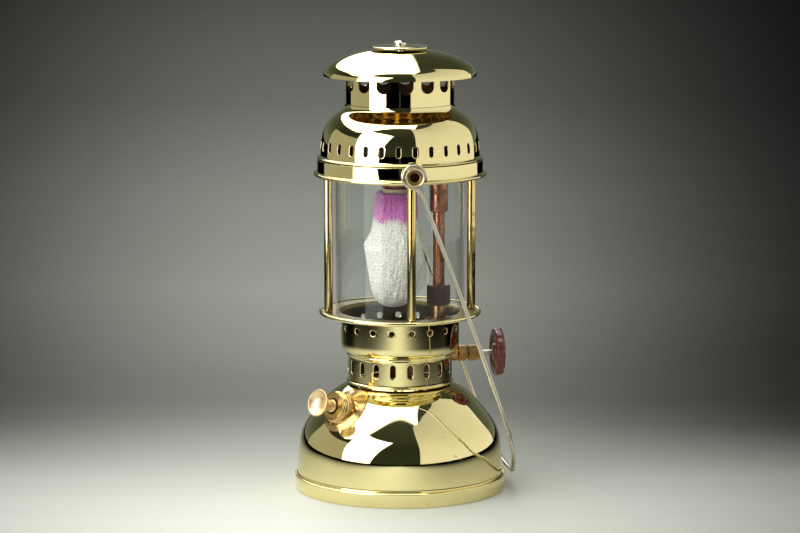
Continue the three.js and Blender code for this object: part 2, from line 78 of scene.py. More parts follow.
CAMERA_DISTANCE = 2.381  # metres, along the floor from the lantern's axis
CAMERA_HEIGHT = 0.551
CAMERA_AZIMUTH = math.radians(-8.9)
CAMERA_PITCH = math.radians(8.87)


def linked(name, data):
    """A new object in the scene."""
    made = bpy.data.objects.new(name, data)
    bpy.context.scene.collection.objects.link(made)
    return made


def make_camera():
    data = bpy.data.cameras.new("camera")
    data.lens = 135
    data.sensor_width = 36
    camera = linked("camera", data)
    camera.location = (
        CAMERA_DISTANCE * math.sin(CAMERA_AZIMUTH),
        -CAMERA_DISTANCE * math.cos(CAMERA_AZIMUTH),
        CAMERA_HEIGHT,
    )
    camera.rotation_euler = (math.pi / 2 - CAMERA_PITCH, 0, CAMERA_AZIMUTH)
    bpy.context.scene.camera = camera


make_camera()
bpy.context.scene.view_settings.view_transform = "Standard"


class Nodes:
    """Shorthand for building a shader tree."""

    def __init__(self, tree):
        self.tree = tree
        tree.nodes.clear()

    def add(self, kind, inputs=None, **settings):
        """A shader node, its kind named without the ShaderNode prefix. Inputs are values or sockets."""
        node = self.tree.nodes.new("ShaderNode" + kind)
        for key, value in settings.items():
            setattr(node, key, value)
        for key, value in (inputs or {}).items():
            if isinstance(value, bpy.types.NodeSocket):
                self.tree.links.new(value, node.inputs[key])
            else:
                node.inputs[key].default_value = value
        return node

    def math(self, operation, first, second=0.0):
        return self.add("Math", {0: first, 1: second}, operation=operation).outputs[0]

    def plus(self, first, second):
        return self.math("ADD", first, second)

    def minus(self, first, second):
        return self.math("SUBTRACT", first, second)

    def times(self, first, second):
        return self.math("MULTIPLY", first, second)

    def place(self):
        """Where the point is on its object, in metres."""
        return self.add("TexCoord").outputs["Object"]

    def dot(self, vector, axis):
        return self.add("VectorMath", {0: vector, 1: axis},
                        operation="DOT_PRODUCT").outputs["Value"]

    def remap(self, value, low, high, to_low=0.0, to_high=1.0):
        """A value carried from one range to another, and held at its ends."""
        return self.add("MapRange", {"Value": value, "From Min": low, "From Max": high,
                                               "To Min": to_low, "To Max": to_high}).outputs[0]

    def ramp(self, factor, stops):
        """stops are (position, colour), where a number is a grey."""
        node = self.add("ValToRGB", {0: factor})
        while len(node.color_ramp.elements) < len(stops):
            node.color_ramp.elements.new(0.5)
        for element, (position, color) in zip(node.color_ramp.elements, stops):
            element.position = position
            element.color = (*(color if isinstance(color, tuple) else [color] * 3), 1)
        return node.outputs[0]

    def mix(self, factor, first, second, blend="MIX"):
        node = self.add("Mix", data_type="RGBA", blend_type=blend)
        for index, value in ((0, factor), (6, first), (7, second)):
            if isinstance(value, bpy.types.NodeSocket):
                self.tree.links.new(value, node.inputs[index])
            else:
                node.inputs[index].default_value = value if index == 0 else (*value, 1)
        return node.outputs[2]

    def noise(self, vector, scale, detail=3.0, roughness=0.5):
        inputs = {"Vector": vector, "Scale": scale, "Detail": detail, "Roughness": roughness}
        return self.add("TexNoise", inputs).outputs["Fac"]

    def bump(self, height, strength, distance):
        inputs = {"Height": height, "Strength": strength, "Distance": distance}
        return self.add("Bump", inputs).outputs[0]

    def surface(self, kind, inputs):
        self.add("OutputMaterial", {"Surface": self.add(kind, inputs).outputs[0]})


def new_material(name):
    material = bpy.data.materials.new(name)
    material.use_nodes = True
    return material, Nodes(material.node_tree)


# Level directions in the room: to the camera's right, and from the lantern towards it.
TO_RIGHT = (math.cos(CAMERA_AZIMUTH), math.sin(CAMERA_AZIMUTH), 0)
TO_CAMERA = (math.sin(CAMERA_AZIMUTH), -math.cos(CAMERA_AZIMUTH), 0)


FLOOR_TINT = (0.590, 0.610, 0.558)
# The painted pool of light on the floor: how bright it is, and how fast painted shade darkens it to the
# sides.
# Each position along these ramps is (log10(metres behind the lantern + 0.4) + 1) / 2.
FLOOR_PAINTED_LIGHT = [(0.216, 0.95), (0.266, 0.90), (0.312, 0.74), (0.356, 0.55), (0.394, 0.40), (0.417, 0.31),
                (0.4375, 0.265), (0.465, 0.28), (0.50, 0.34), (0.57, 0.43), (0.666, 0.37), (0.775, 0.21),
                (0.896, 0.13), (1.0, 0.08)]
FLOOR_PAINTED_LIGHT_WIDTHS = [(0.32, 0.125), (0.40, 0.082), (0.50, 0.072), (1.0, 0.072)]
FLOOR_PAINTED_LIGHT_MIDDLE = -0.026  # the bearing where the painted light is brightest, as sideways over forwards distance
FLOOR_PAINTED_SHADE_EDGE = (0.9, 1.3)  # metres in front of the lantern, between which painted shade darkens the floor


def make_floor():
    """A pale floor with painted light: graded to grey behind the lantern, with painted shade to both sides
    and in front.
    """
    mesh = bpy.data.meshes.new("floor")
    made = bmesh.new()
    bmesh.ops.create_circle(made, cap_ends=True, radius=30, segments=96)
    made.to_mesh(mesh)
    made.free()
    floor = linked("floor", mesh)
    material, n = new_material("floor")
    place = n.place()
    front = n.dot(place, TO_CAMERA)
    side = n.dot(place, TO_RIGHT)
    # Painted light: a pool of light painted into the floor's colour, fading into painted shade sideways and
    # in front.
    reach = n.math("MAXIMUM", n.minus(0.4, front), 0.02)
    share = n.times(n.plus(n.math("LOGARITHM", reach, 10.0), 1.0), 0.5)
    level = n.ramp(share, FLOOR_PAINTED_LIGHT)
    width = n.ramp(share, FLOOR_PAINTED_LIGHT_WIDTHS)
    bearing = n.math("DIVIDE", side, n.math("MAXIMUM", n.minus(CAMERA_DISTANCE, front), 0.3))
    spread = n.math("DIVIDE", n.minus(bearing, FLOOR_PAINTED_LIGHT_MIDDLE), width)
    fade = n.math("EXPONENT", n.times(n.times(spread, spread), -0.5))
    level = n.times(n.times(level, fade), n.remap(front, *FLOOR_PAINTED_SHADE_EDGE, 1.0, 0.10))
    color = n.add("VectorMath", {0: FLOOR_TINT, 3: level}, operation="SCALE").outputs[0]
    n.surface("BsdfPrincipled", {"Base Color": color, "Roughness": 0.8,
                                           "Specular IOR Level": 0.0})
    mesh.materials.append(material)


DIFFUSER = (3.2, 3.2, 3.1)
DIFFUSER_EDGE = (0.607, 0.132, 0.783)  # normal of the plane through its left edge: right, front and up


def make_world():
    """A dim studio: grey behind the lantern, dark in front, and a large white diffuser overhead."""
    world = bpy.data.worlds.new("studio")
    bpy.context.scene.world = world
    world.use_nodes = True
    n = Nodes(world.node_tree)
    direction = n.add("TexCoord").outputs["Generated"]

    def over(value, threshold, soft=0.012):
        return n.remap(value, n.minus(threshold, soft), n.plus(threshold, soft))

    axes = TO_RIGHT, TO_CAMERA, (0, 0, 1)
    right, front, up = (n.dot(direction, axis) for axis in axes)
    behind = n.ramp(n.plus(n.times(front, -0.5), 0.5), [(0.60, 0.0), (0.85, 1.0)])
    height = n.plus(n.times(up, 0.5), 0.5)
    wall = n.ramp(height, [(0.0, (0.30, 0.32, 0.29)), (0.50, (0.17, 0.19, 0.16)),
                           (0.60, (0.10, 0.115, 0.09)), (0.75, (0.05, 0.055, 0.04)),
                           (1.0, (0.04, 0.045, 0.03))])
    dark = n.ramp(height, [(0.0, (0.10, 0.11, 0.08)), (0.50, (0.030, 0.036, 0.022)),
                           (0.75, (0.024, 0.029, 0.018)), (1.0, (0.05, 0.055, 0.04))])
    room = n.mix(behind, dark, wall)
    lowest = n.plus(n.times(front, 0.45), 0.52)
    furthest = n.plus(n.times(n.math("MINIMUM", front, 0.0), 0.28), 0.28)
    diffuser = n.times(over(up, lowest), over(furthest, right))
    diffuser = n.times(diffuser, over(0.36, front))
    from_left = n.dot(direction, tuple(np.array(DIFFUSER_EDGE) @ np.array(axes)))
    diffuser = n.times(diffuser, over(from_left, 0.0))
    color = n.mix(diffuser, room, DIFFUSER)
    background = n.add("Background", {"Color": color, "Strength": 1.0})
    n.add("OutputWorld", {"Surface": background.outputs[0]})


def lit_panel(name, radius, left, right, bottom, top, strength, color, fade=1.0):
    """A curved light panel round the lantern, unseen by the camera.

    left and right are azimuths from the camera's direction, bottom and top heights in metres: each a pair,
    for the lower and upper end of a side, or for the left and right end of an edge.
    """
    steps_around, steps_up = 48, 12
    points = []
    for i in range(steps_up + 1):
        up = i / steps_up
        start = left[0] + (left[1] - left[0]) * up
        end = right[0] + (right[1] - right[0]) * up
        for k in range(steps_around + 1):
            share = k / steps_around
            low = bottom[0] + (bottom[1] - bottom[0]) * share
            high = top[0] + (top[1] - top[0]) * share
            angle = math.radians(start + (end - start) * share)
            spot = Vector(TO_CAMERA) * math.cos(angle) + Vector(TO_RIGHT) * math.sin(angle)
            points.append((spot.x * radius, spot.y * radius, low + (high - low) * up))
    faces = []
    for i in range(steps_up):
        for k in range(steps_around):
            a = i * (steps_around + 1) + k
            faces.append((a, a + 1, a + steps_around + 2, a + steps_around + 1))
    mesh = bpy.data.meshes.new(name)
    mesh.from_pydata(points, [], faces)
    material, n = new_material(name)
    z = n.add("SeparateXYZ", {0: n.place()}).outputs[2]
    power = n.remap(z, 0.0, max(top), strength, strength * fade)
    n.surface("Emission", {"Color": (*color, 1), "Strength": power})
    mesh.materials.append(material)
    panel = linked(name, mesh)
    panel.visible_camera = False
    panel.visible_shadow = False


def make_lights():
    lit_panel("key_panel", 1.15, (-66, -66), (-33, -10), (0.03, 0.03), (1.60, 1.15), 4.2, (1.0, 1.0, 0.98))
    lit_panel("right_panel", 1.30, (22, 27), (132, 134), (0.03, 0.03), (2.60, 2.60), 0.92,
              (1.0, 0.99, 0.90), 0.62)
    lit_panel("left_panel", 1.40, (-128, -122), (-66, -66), (0.03, 0.03), (0.85, 0.85), 0.40,
              (1.0, 0.98, 0.80))


make_floor()
make_world()
make_lights()

# ---- materials -----------------------------------------------------------------------------------


def metal(name, tint, shade, roughness, stain=(0.12, 0.07, 0.03), stained=0.62, wave=0.0, brushed=0.0,
          spots=0.0):
    """Metal with uneven polish, clouded from tint to shade, and stained where the noise passes stained."""
    material, n = new_material(name)
    place = n.place()
    cloud = n.noise(place, 35, 4, 0.6)
    fine = n.noise(place, 420, 5, 0.65)
    color = n.mix(n.ramp(cloud, [(0.35, 0.0), (0.7, 1.0)]), tint, shade)
    blot = n.times(n.noise(place, 90, 6, 0.7), n.plus(n.noise(place, 11, 2), 0.5))
    mask = n.ramp(blot, [(stained, 0.0), (min(stained + 0.16, 1.0), 1.0)])
    color = n.mix(n.times(mask, 0.55), color, stain)
    if spots:
        cells = n.add("TexVoronoi", {"Vector": place, "Scale": 260.0}).outputs["Distance"]
        speck = n.ramp(cells, [(0.06, 1.0), (0.13, 0.0)])
        speck = n.times(speck, n.ramp(n.noise(place, 60, 3), [(0.55, 0.0), (0.65, 1.0)]))
        color = n.mix(n.times(speck, spots), color, stain)
    rough = n.plus(roughness, n.times(n.minus(fine, 0.4), roughness * 0.8))
    rough = n.plus(rough, n.times(mask, 0.18))
    split = n.add("SeparateXYZ", {0: place})
    lines = n.add("CombineXYZ", {
        0: n.times(split.outputs[0], 6.0),
        1: n.times(split.outputs[1], 6.0),
        2: n.times(split.outputs[2], 2600.0)}).outputs[0]
    height = n.times(n.noise(lines, 1.0, 2), brushed)
    height = n.plus(height, n.times(n.noise(place, 28, 1, 0.4), wave))
    n.surface("BsdfPrincipled", {
        "Base Color": color, "Roughness": rough, "Metallic": 1.0, "Normal": n.bump(height, 1.0, 0.001)})
    return material


def painted_shade_bush(name):
    """Satin brass, brown in its hollow, with painted shade nearly black in the hole at the middle."""
    material, n = new_material(name)
    place = n.place()
    split = n.add("SeparateXYZ", {0: place})
    across = n.math("POWER", split.outputs[0], 2.0)
    up = n.math("POWER", n.minus(split.outputs[2], PIVOT_Z * MM), 2.0)
    reach = n.times(n.math("SQRT", n.plus(across, up)), 100.0)
    # Colour by distance from the pivot's axis: nearly black painted shade in the hole, brown in the hollow,
    # satin brass outside.
    color = n.ramp(reach, [(0.20, (0.05, 0.015, 0.01)), (0.33, (0.04, 0.02, 0.01)),
                           (0.38, (0.30, 0.20, 0.09)), (0.60, (0.40, 0.29, 0.14)),
                           (0.66, (0.66, 0.56, 0.34)), (0.95, (0.72, 0.64, 0.42))])
    rough = n.ramp(reach, [(0.3, 0.5), (0.66, 0.42), (0.75, 0.12)])
    fine = n.noise(place, 500, 5, 0.6)
    rough = n.plus(rough, n.times(n.minus(fine, 0.5), 0.1))
    n.surface("BsdfPrincipled", {"Base Color": color, "Roughness": rough, "Metallic": 1.0})
    return material


def moulded(name, tint, shade, roughness, grain=300):
    """Smooth material with a faint grain, clouded from tint to shade."""
    material, n = new_material(name)
    place = n.place()
    swirl = n.noise(place, 70, 5, 0.6)
    color = n.mix(n.ramp(swirl, [(0.35, 0.0), (0.65, 1.0)]), tint, shade)
    rough = n.plus(roughness, n.times(n.noise(place, grain, 4), 0.15))
    n.surface("BsdfPrincipled", {
        "Base Color": color, "Roughness": rough, "Normal": n.bump(n.noise(place, grain, 4), 0.15, 0.0005),
        "Coat Weight": 0.3, "Coat Roughness": 0.15})
    return material


def clear_glass(name):
    """Thin clear glass: what is behind it shows straight through, under a faint mirror image."""
    material, n = new_material(name)
    place = n.place()
    back = n.add("NewGeometry").outputs["Backfacing"]
    index = n.remap(back, 0.0, 1.0, 1.33, 0.75)
    bump = n.bump(n.noise(place, 14, 1), 0.12, 0.0006)
    share = n.add("Fresnel", {"IOR": index, "Normal": bump}).outputs[0]
    clear = n.add("BsdfTransparent", {"Color": (0.975, 0.985, 0.975, 1)})
    mirror = n.add("BsdfGlossy", {"Color": (1, 1, 1, 1), "Roughness": 0.02, "Normal": bump})
    n.surface("MixShader", {0: share, 1: clear.outputs[0], 2: mirror.outputs[0]})
    return material


def two_tone(name, below, above, level, roughness):
    """Metal that is one colour below a height in metres and another above it."""
    material, n = new_material(name)
    place = n.place()
    z = n.add("SeparateXYZ", {0: place}).outputs[2]
    high = n.remap(z, level - 0.001, level + 0.001)
    cloud = n.ramp(n.noise(place, 60, 4, 0.6), [(0.35, 0.75), (0.7, 1.0)])
    color = n.mix(1.0, n.mix(high, below, above), cloud, "MULTIPLY")
    rough = n.plus(roughness, n.times(n.noise(place, 400, 4), 0.12))
    n.surface("BsdfPrincipled", {"Base Color": color, "Roughness": rough, "Metallic": 1.0})
    return material


KNIT_COLUMNS = 46
KNIT_ROWS = 38


def knitted(name, dyed_from, dyed_to):
    """Loose knitted cloth, dyed above a height that wavers between dyed_from and dyed_to, in metres."""
    material, n = new_material(name)
    coords = n.add("TexCoord")
    place = coords.outputs["Object"]
    stitches = n.add("VectorMath", {0: coords.outputs["UV"], 1: (KNIT_COLUMNS, KNIT_ROWS, 0)},
                     operation="MULTIPLY").outputs[0]
    cells = n.add("TexVoronoi", {"Vector": stitches, "Scale": 1.0, "Randomness": 0.62},
                  voronoi_dimensions="2D").outputs["Distance"]
    fuzz = n.noise(place, 1500, 4, 0.7)
    opening = n.ramp(cells, [(0.10, 1.0), (0.27, 0.0)])
    loose = n.ramp(n.noise(place, 130, 3), [(0.38, 0.25), (0.62, 1.0)])
    hole = n.times(opening, loose)
    z = n.add("SeparateXYZ", {0: place}).outputs[2]
    level = n.plus(z, n.times(n.minus(n.noise(place, 90, 2), 0.5), 0.010))
    dyed = n.remap(level, dyed_from, dyed_to)
    deeper = n.remap(level, dyed_to, dyed_to + 0.016)
    purple = n.mix(deeper, (0.74, 0.23, 0.63), (0.46, 0.10, 0.40))
    purple = n.mix(n.ramp(fuzz, [(0.5, 0.0), (0.75, 0.6)]), purple, (0.86, 0.55, 0.80))
    foot = n.remap(z, 0.149, 0.156, 0.35, 0.0)
    white = n.mix(n.noise(place, 60, 3), (0.95, 0.95, 0.90), (0.87, 0.87, 0.81))
    white = n.mix(foot, white, (0.80, 0.60, 0.78))
    color = n.mix(dyed, white, purple)
    shaded = n.mix(dyed, (0.22, 0.22, 0.19), (0.12, 0.015, 0.10))
    color = n.mix(n.times(hole, 0.85), color, shaded)
    height = n.plus(n.times(cells, 1.4), n.times(fuzz, 0.4))
    n.surface("BsdfPrincipled", {
        "Base Color": color, "Roughness": 0.9, "Normal": n.bump(height, 0.8, 0.0006), "Sheen Weight": 0.3,
        "Subsurface Weight": 0.2, "Subsurface Radius": (0.003, 0.003, 0.003), "Specular IOR Level": 0.2})
    return material


BRASS = metal("polished_brass", (0.93, 0.82, 0.44), (0.88, 0.76, 0.37), 0.035, stained=0.70, wave=0.010,
              brushed=0.0006)
SEAMED = metal("seamed_brass", (0.93, 0.82, 0.44), (0.88, 0.76, 0.37), 0.035, stained=0.62, wave=0.010,
               brushed=0.0006)
PLAIN = metal("turned_brass", (0.66, 0.47, 0.19), (0.48, 0.32, 0.12), 0.20, stained=0.60, brushed=0.006,
              spots=0.3)
# Dark brown for the insides of the hood, chimney and inner casing and for the seat ring: partly heat
# tarnish, partly painted shade where they lie in shadow behind holes and slots.
TARNISH_AND_PAINTED_SHADE = metal("tarnish_and_painted_shade", (0.16, 0.10, 0.05), (0.09, 0.055, 0.03), 0.45,
                  stain=(0.03, 0.02, 0.015), stained=0.5)
BUSH_PAINTED_SHADE = painted_shade_bush("painted_shade_bush")
DISH = metal("matt_brass", (0.88, 0.68, 0.42), (0.80, 0.60, 0.34), 0.36, stained=0.66, spots=0.3)
POSTS = metal("post_brass", (0.86, 0.69, 0.32), (0.74, 0.55, 0.22), 0.10, stained=0.60, spots=0.4)
COPPER = metal("copper", (0.58, 0.24, 0.12), (0.30, 0.12, 0.065), 0.22, stain=(0.07, 0.035, 0.025),
               stained=0.50, brushed=0.004)
DARK = metal("oxidised", (0.17, 0.095, 0.065), (0.10, 0.055, 0.04), 0.34, stain=(0.04, 0.025, 0.02),
             stained=0.5, brushed=0.004)
STEEL = metal("steel", (0.52, 0.50, 0.46), (0.40, 0.38, 0.34), 0.28, stain=(0.10, 0.06, 0.04), stained=0.6,
              brushed=0.004)
NICKEL = metal("nickel", (0.86, 0.82, 0.74), (0.74, 0.69, 0.60), 0.09, stain=(0.25, 0.20, 0.14),
               stained=0.62, spots=0.3)
WIRE = metal("plated_wire", (0.62, 0.58, 0.50), (0.50, 0.46, 0.38), 0.20, stain=(0.16, 0.13, 0.09),
             stained=0.58, spots=0.5)
PHENOLIC = moulded("phenolic", (0.150, 0.013, 0.005), (0.060, 0.006, 0.003), 0.30)
CERAMIC = moulded("ceramic", (0.80, 0.66, 0.44), (0.68, 0.52, 0.32), 0.55, 500)
LEATHER = moulded("leather", (0.16, 0.08, 0.04), (0.09, 0.045, 0.02), 0.6)
RUBBER = moulded("rubber", (0.02, 0.02, 0.02), (0.03, 0.03, 0.028), 0.6)
ENAMEL = moulded("enamel", (0.80, 0.79, 0.74), (0.74, 0.72, 0.66), 0.35)
GLASS = clear_glass("clear_glass")
AGED = metal("aged_brass", (0.50, 0.31, 0.13), (0.28, 0.16, 0.07), 0.24, stained=0.52, brushed=0.004,
             spots=0.4)
HEATED = metal("heated_brass", (0.80, 0.46, 0.16), (0.60, 0.32, 0.10), 0.22, stained=0.60)
SADDLE = metal("soldered_brass", (0.52, 0.37, 0.13), (0.34, 0.22, 0.075), 0.20, stained=0.58, spots=0.3)
# Painted shade on the inside of the neck: nearly black below 141 mm, where it shows through the slots and
# round holes, and dim brown above.
NECK_PAINTED_SHADE = two_tone("neck_painted_shade", (0.07, 0.05, 0.025), (0.20, 0.155, 0.06), 0.141, 0.34)
CLOTH = knitted("knitted_cloth", 0.2165, 0.2205)
CORD = moulded("white_cord", (0.74, 0.70, 0.64), (0.60, 0.50, 0.55), 0.8)

MATERIAL_OF_SLOT = {
    "polishedBrass": BRASS, "plainBrass": PLAIN, "copper": COPPER, "steel": STEEL, "nickel": NICKEL,
    "phenolic": PHENOLIC, "glass": GLASS, "cloth": CLOTH, "ceramic": CERAMIC, "leather": LEATHER,
    "rubber": RUBBER, "enamel": ENAMEL,
}

for node, cad in frame["nodes"].items():
    for material_slot in cad.material_slots:
        material_slot.material = MATERIAL_OF_SLOT[SLOT_OF[node]]

# ---- mesh helpers --------------------------------------------------------------------------------

SHARP = math.radians(38)


def quads(rows, sides, closed=False, first=0):
    """Faces between rows of points that go all the way round. Where closed, the last row joins the first."""
    faces = []
    for i in range(rows if closed else rows - 1):
        here, there = first + i * sides, first + (i + 1) % rows * sides
        for k in range(sides):
            m = (k + 1) % sides
            faces.append((here + k, here + m, there + m, there + k))
    return faces


def build(name, points, faces, material, sharp=SHARP, weld=0.002):
    """An object from points in millimetres. Points closer than weld are joined."""
    mesh = bpy.data.meshes.new(name)
    mesh.from_pydata([tuple(p) for p in np.asarray(points) * MM], [], faces)
    work = bmesh.new()
    work.from_mesh(mesh)
    bmesh.ops.remove_doubles(work, verts=work.verts, dist=weld * MM)
    bmesh.ops.dissolve_degenerate(work, edges=work.edges, dist=1e-7)
    bmesh.ops.recalc_face_normals(work, faces=work.faces)
    work.to_mesh(mesh)
    work.free()
    for polygon in mesh.polygons:
        polygon.use_smooth = True
    mesh.set_sharp_from_angle(angle=sharp)
    mesh.materials.append(material)
    return linked(name, mesh)


def stands_for(piece, *nodes):
    """The piece replaces these CAD nodes and moves with the first one's body."""
    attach(piece, BODY_OF[nodes[0]])
    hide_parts(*nodes)
    return piece


def apply_modifiers(piece):
    """Replaces the mesh by what its modifiers make of it."""
    made = bpy.data.meshes.new_from_object(piece.evaluated_get(bpy.context.evaluated_depsgraph_get()))
    old = piece.data
    piece.modifiers.clear()
    piece.data = made
    made.name = piece.name
    bpy.data.meshes.remove(old)
    made.set_sharp_from_angle(angle=SHARP)


def thicken(piece, thickness, lining=None, even=True):
    """Gives an open sheet its thickness, inwards. The inner side may have a lining material."""
    modifier = piece.modifiers.new("sheet", "SOLIDIFY")
    modifier.thickness = thickness * MM
    modifier.offset = -1
    modifier.use_even_offset = even
    if lining:
        piece.data.materials.append(lining)
        modifier.material_offset = 1
    apply_modifiers(piece)


def cut(piece, cutter):
    modifier = piece.modifiers.new("cut", "BOOLEAN")
    modifier.operation = "DIFFERENCE"
    modifier.solver = "EXACT"
    modifier.object = cutter
    apply_modifiers(piece)
    bpy.data.meshes.remove(cutter.data)


def fair(keys, per_span=8):
    """A smooth curve through a few [radius, height] points: a natural cubic spline over their spacing."""
    keys = np.array(keys, float)
    steps = np.sqrt(np.linalg.norm(np.diff(keys, axis=0), axis=1))
    t = np.concatenate([[0], np.cumsum(steps)])
    count = len(t)
    system, right = np.zeros((count, count)), np.zeros((count, 2))
    system[0, 0] = system[-1, -1] = 1
    for i in range(1, count - 1):
        before, after = t[i] - t[i - 1], t[i + 1] - t[i]
        system[i, i - 1: i + 2] = before, 2 * (before + after), after
        right[i] = 6 * ((keys[i + 1] - keys[i]) / after - (keys[i] - keys[i - 1]) / before)
    bend = np.linalg.solve(system, right)
    curve = []
    for i in range(count - 1):
        span = t[i + 1] - t[i]
        for share in np.arange(per_span) / per_span:
            a, b = 1 - share, share
            point = a * keys[i] + b * keys[i + 1]
            point = point + ((a**3 - a) * bend[i] + (b**3 - b) * bend[i + 1]) * span**2 / 6
            curve.append(tuple(point))
    return curve + [tuple(keys[-1])]


def arc(centre, radius, start, end, steps=6):
    """Points on a circle, its angles in degrees from outwards towards up."""
    angles = np.radians(np.linspace(start, end, steps + 1))
    return [(centre[0] + radius * math.cos(a), centre[1] + radius * math.sin(a)) for a in angles]


def soften(outline, radius, closed=True, steps=3):
    """Rounds each corner of an outline by up to radius."""
    outline = [np.array(p, float) for p in outline]
    count = len(outline)
    made = []
    for i, corner in enumerate(outline):
        if not closed and i in (0, count - 1):
            made.append(tuple(corner))
            continue
        before, after = outline[i - 1] - corner, outline[(i + 1) % count] - corner
        lengths = np.linalg.norm(before), np.linalg.norm(after)
        if min(lengths) < 1e-6 or corner[0] < 1e-6:
            made.append(tuple(corner))
            continue
        reach = min(radius, 0.45 * lengths[0], 0.45 * lengths[1])
        start, end = corner + before / lengths[0] * reach, corner + after / lengths[1] * reach
        for share in np.linspace(0, 1, steps + 1):
            made.append(tuple((1 - share) ** 2 * start + 2 * share * (1 - share) * corner + share**2 * end))
    return made


def lathe(name, outline, material, sides=128, closed=False, radius_at=None):
    """Turns [radius, height] points about Z. radius_at(angle, radius, height) may change a radius."""
    rows = []
    angles = np.arange(sides) * 2 * math.pi / sides
    for r, z in outline:
        radii = np.array([radius_at(a, r, z) for a in angles]) if radius_at else np.full(sides, r)
        rows.append(np.stack([radii * np.cos(angles), radii * np.sin(angles), np.full(sides, z)], axis=1))
    return build(name, np.concatenate(rows), quads(len(rows), sides, closed), material)


def place_at(piece, matrix):
    """Moves a piece's own points, so that the object itself stays at the origin."""
    piece.data.transform(matrix)
    return piece


def shift(x=0.0, y=0.0, z=0.0):
    return Matrix.Translation(Vector((x, y, z)) * MM)


def along_x(height):
    return shift(z=height) @ Matrix.Rotation(math.pi / 2, 4, "Y")


def turned(node, name, outline, material, sides=96, at=Matrix(), **options):
    """A lathe piece at its place, in the stead of a CAD node."""
    return stands_for(place_at(lathe(name, outline, material, sides, **options), at), node)


def swept(name, path, radius, material, sides=16, closed_ends=True):
    """A round wire along points, its section carried along without twisting."""
    path = np.array(path, float)
    ahead = np.gradient(path, axis=0)
    ahead /= np.linalg.norm(ahead, axis=1)[:, None]
    side = np.cross(ahead[0], (0.3, 0.5, 0.8))
    side /= np.linalg.norm(side)
    points = []
    for centre, forward in zip(path, ahead):
        side = side - forward * np.dot(side, forward)
        side /= np.linalg.norm(side)
        other = np.cross(forward, side)
        for a in np.arange(sides) * 2 * math.pi / sides:
            points.append(centre + radius * (math.cos(a) * side + math.sin(a) * other))
    faces = quads(len(path), sides)
    if closed_ends:
        faces.append(tuple(range(sides))[::-1])
        faces.append(tuple((len(path) - 1) * sides + k for k in range(sides)))
    return build(name, points, faces, material)


def hex_nut(name, across_flats, bore, low, high, material):
    """A six-sided nut round Z with its corners turned off at the ends, a flat towards +X."""
    apothem = across_flats / 2
    start = apothem * 0.97
    rows = []
    for a in np.radians(np.arange(0, 360, 3)):
        off = (a + math.pi / 6) % (math.pi / 3) - math.pi / 6
        corner = apothem / math.cos(off)
        drop = max(corner - start, 0) * 0.55
        outline = [(bore, low), (start, low), (corner, low + drop), (corner, high - drop), (start, high),
                   (bore, high)]
        rows.append([(r * math.cos(a), r * math.sin(a), z) for r, z in outline])
    points = np.array(rows).reshape(-1, 3)
    return build(name, points, quads(len(rows), len(rows[0]), closed=True), material, math.radians(25))


def merged(name, *pieces):
    """One object from several."""
    work = bmesh.new()
    for piece in pieces:
        work.from_mesh(piece.data)
    mesh = bpy.data.meshes.new(name)
    work.to_mesh(mesh)
    work.free()
    for material in pieces[0].data.materials:
        mesh.materials.append(material)
    for piece in pieces:
        bpy.data.meshes.remove(piece.data)
    mesh.set_sharp_from_angle(angle=SHARP)
    return linked(name, mesh)


def block(name, xs, ys, zs, material, bevel=0.3):
    """A box with bevelled edges. xs, ys and zs are its lowest and highest places."""
    corners = [(x, y, z) for x in xs for y in ys for z in zs]
    faces = [(0, 1, 3, 2), (4, 6, 7, 5), (0, 4, 5, 1), (2, 3, 7, 6), (0, 2, 6, 4), (1, 5, 7, 3)]
    piece = build(name, corners, faces, material)
    modifier = piece.modifiers.new("edges", "BEVEL")
    modifier.width = bevel * MM
    modifier.segments = 2
    apply_modifiers(piece)
    return piece


def ring(name, inner, outer, low, high, material, edge=0.4, sides=96):
    """A turned ring of rectangular section, its edges rounded."""
    outline = soften([(inner, low), (outer, low), (outer, high), (inner, high)], edge)
    return lathe(name, outline, material, sides, closed=True)


def on_tank(direction_deg, radius, height, tilt_deg):
    """The frame of an axis that leaves the tank there, tilted above the horizon."""
    turn = Matrix.Rotation(math.radians(direction_deg), 4, "Z")
    tip = Matrix.Rotation(math.radians(90 - tilt_deg), 4, "Y")
    return turn @ shift(radius, 0, height) @ tip


# ---- pierced sheet -------------------------------------------------------------------------------


class Profile:
    """The outside of a turned sheet as [radius, height] points, read by distance along it."""

    def __init__(self, points):
        self.points = np.array(points, float)
        gaps = np.linalg.norm(np.diff(self.points, axis=0), axis=1)
        self.along = np.concatenate([[0], np.cumsum(gaps)])

    def at(self, s):
        """Radius and height, and the outward normal, at distances along the profile."""
        r = np.interp(s, self.along, self.points[:, 0])
        z = np.interp(s, self.along, self.points[:, 1])
        slopes = np.gradient(self.points, self.along, axis=0)
        dr = np.interp(s, self.along, slopes[:, 0])
        dz = np.interp(s, self.along, slopes[:, 1])
        size = np.hypot(dr, dz)
        return r, z, dz / size, -dr / size

    def where(self, height):
        """Distance along the profile at the first point as high as that."""
        index = int(np.argmax(self.points[:, 1] >= height))
        span = slice(max(index - 1, 0), index + 1)
        return float(np.interp(height, self.points[span, 1], self.along[span]))


# Distances out from a hole's edge, and how far the sheet sinks there.
EDGE = ((0.0, 0.30), (0.07, 0.13), (0.2, 0.03), (0.4, 0.0))


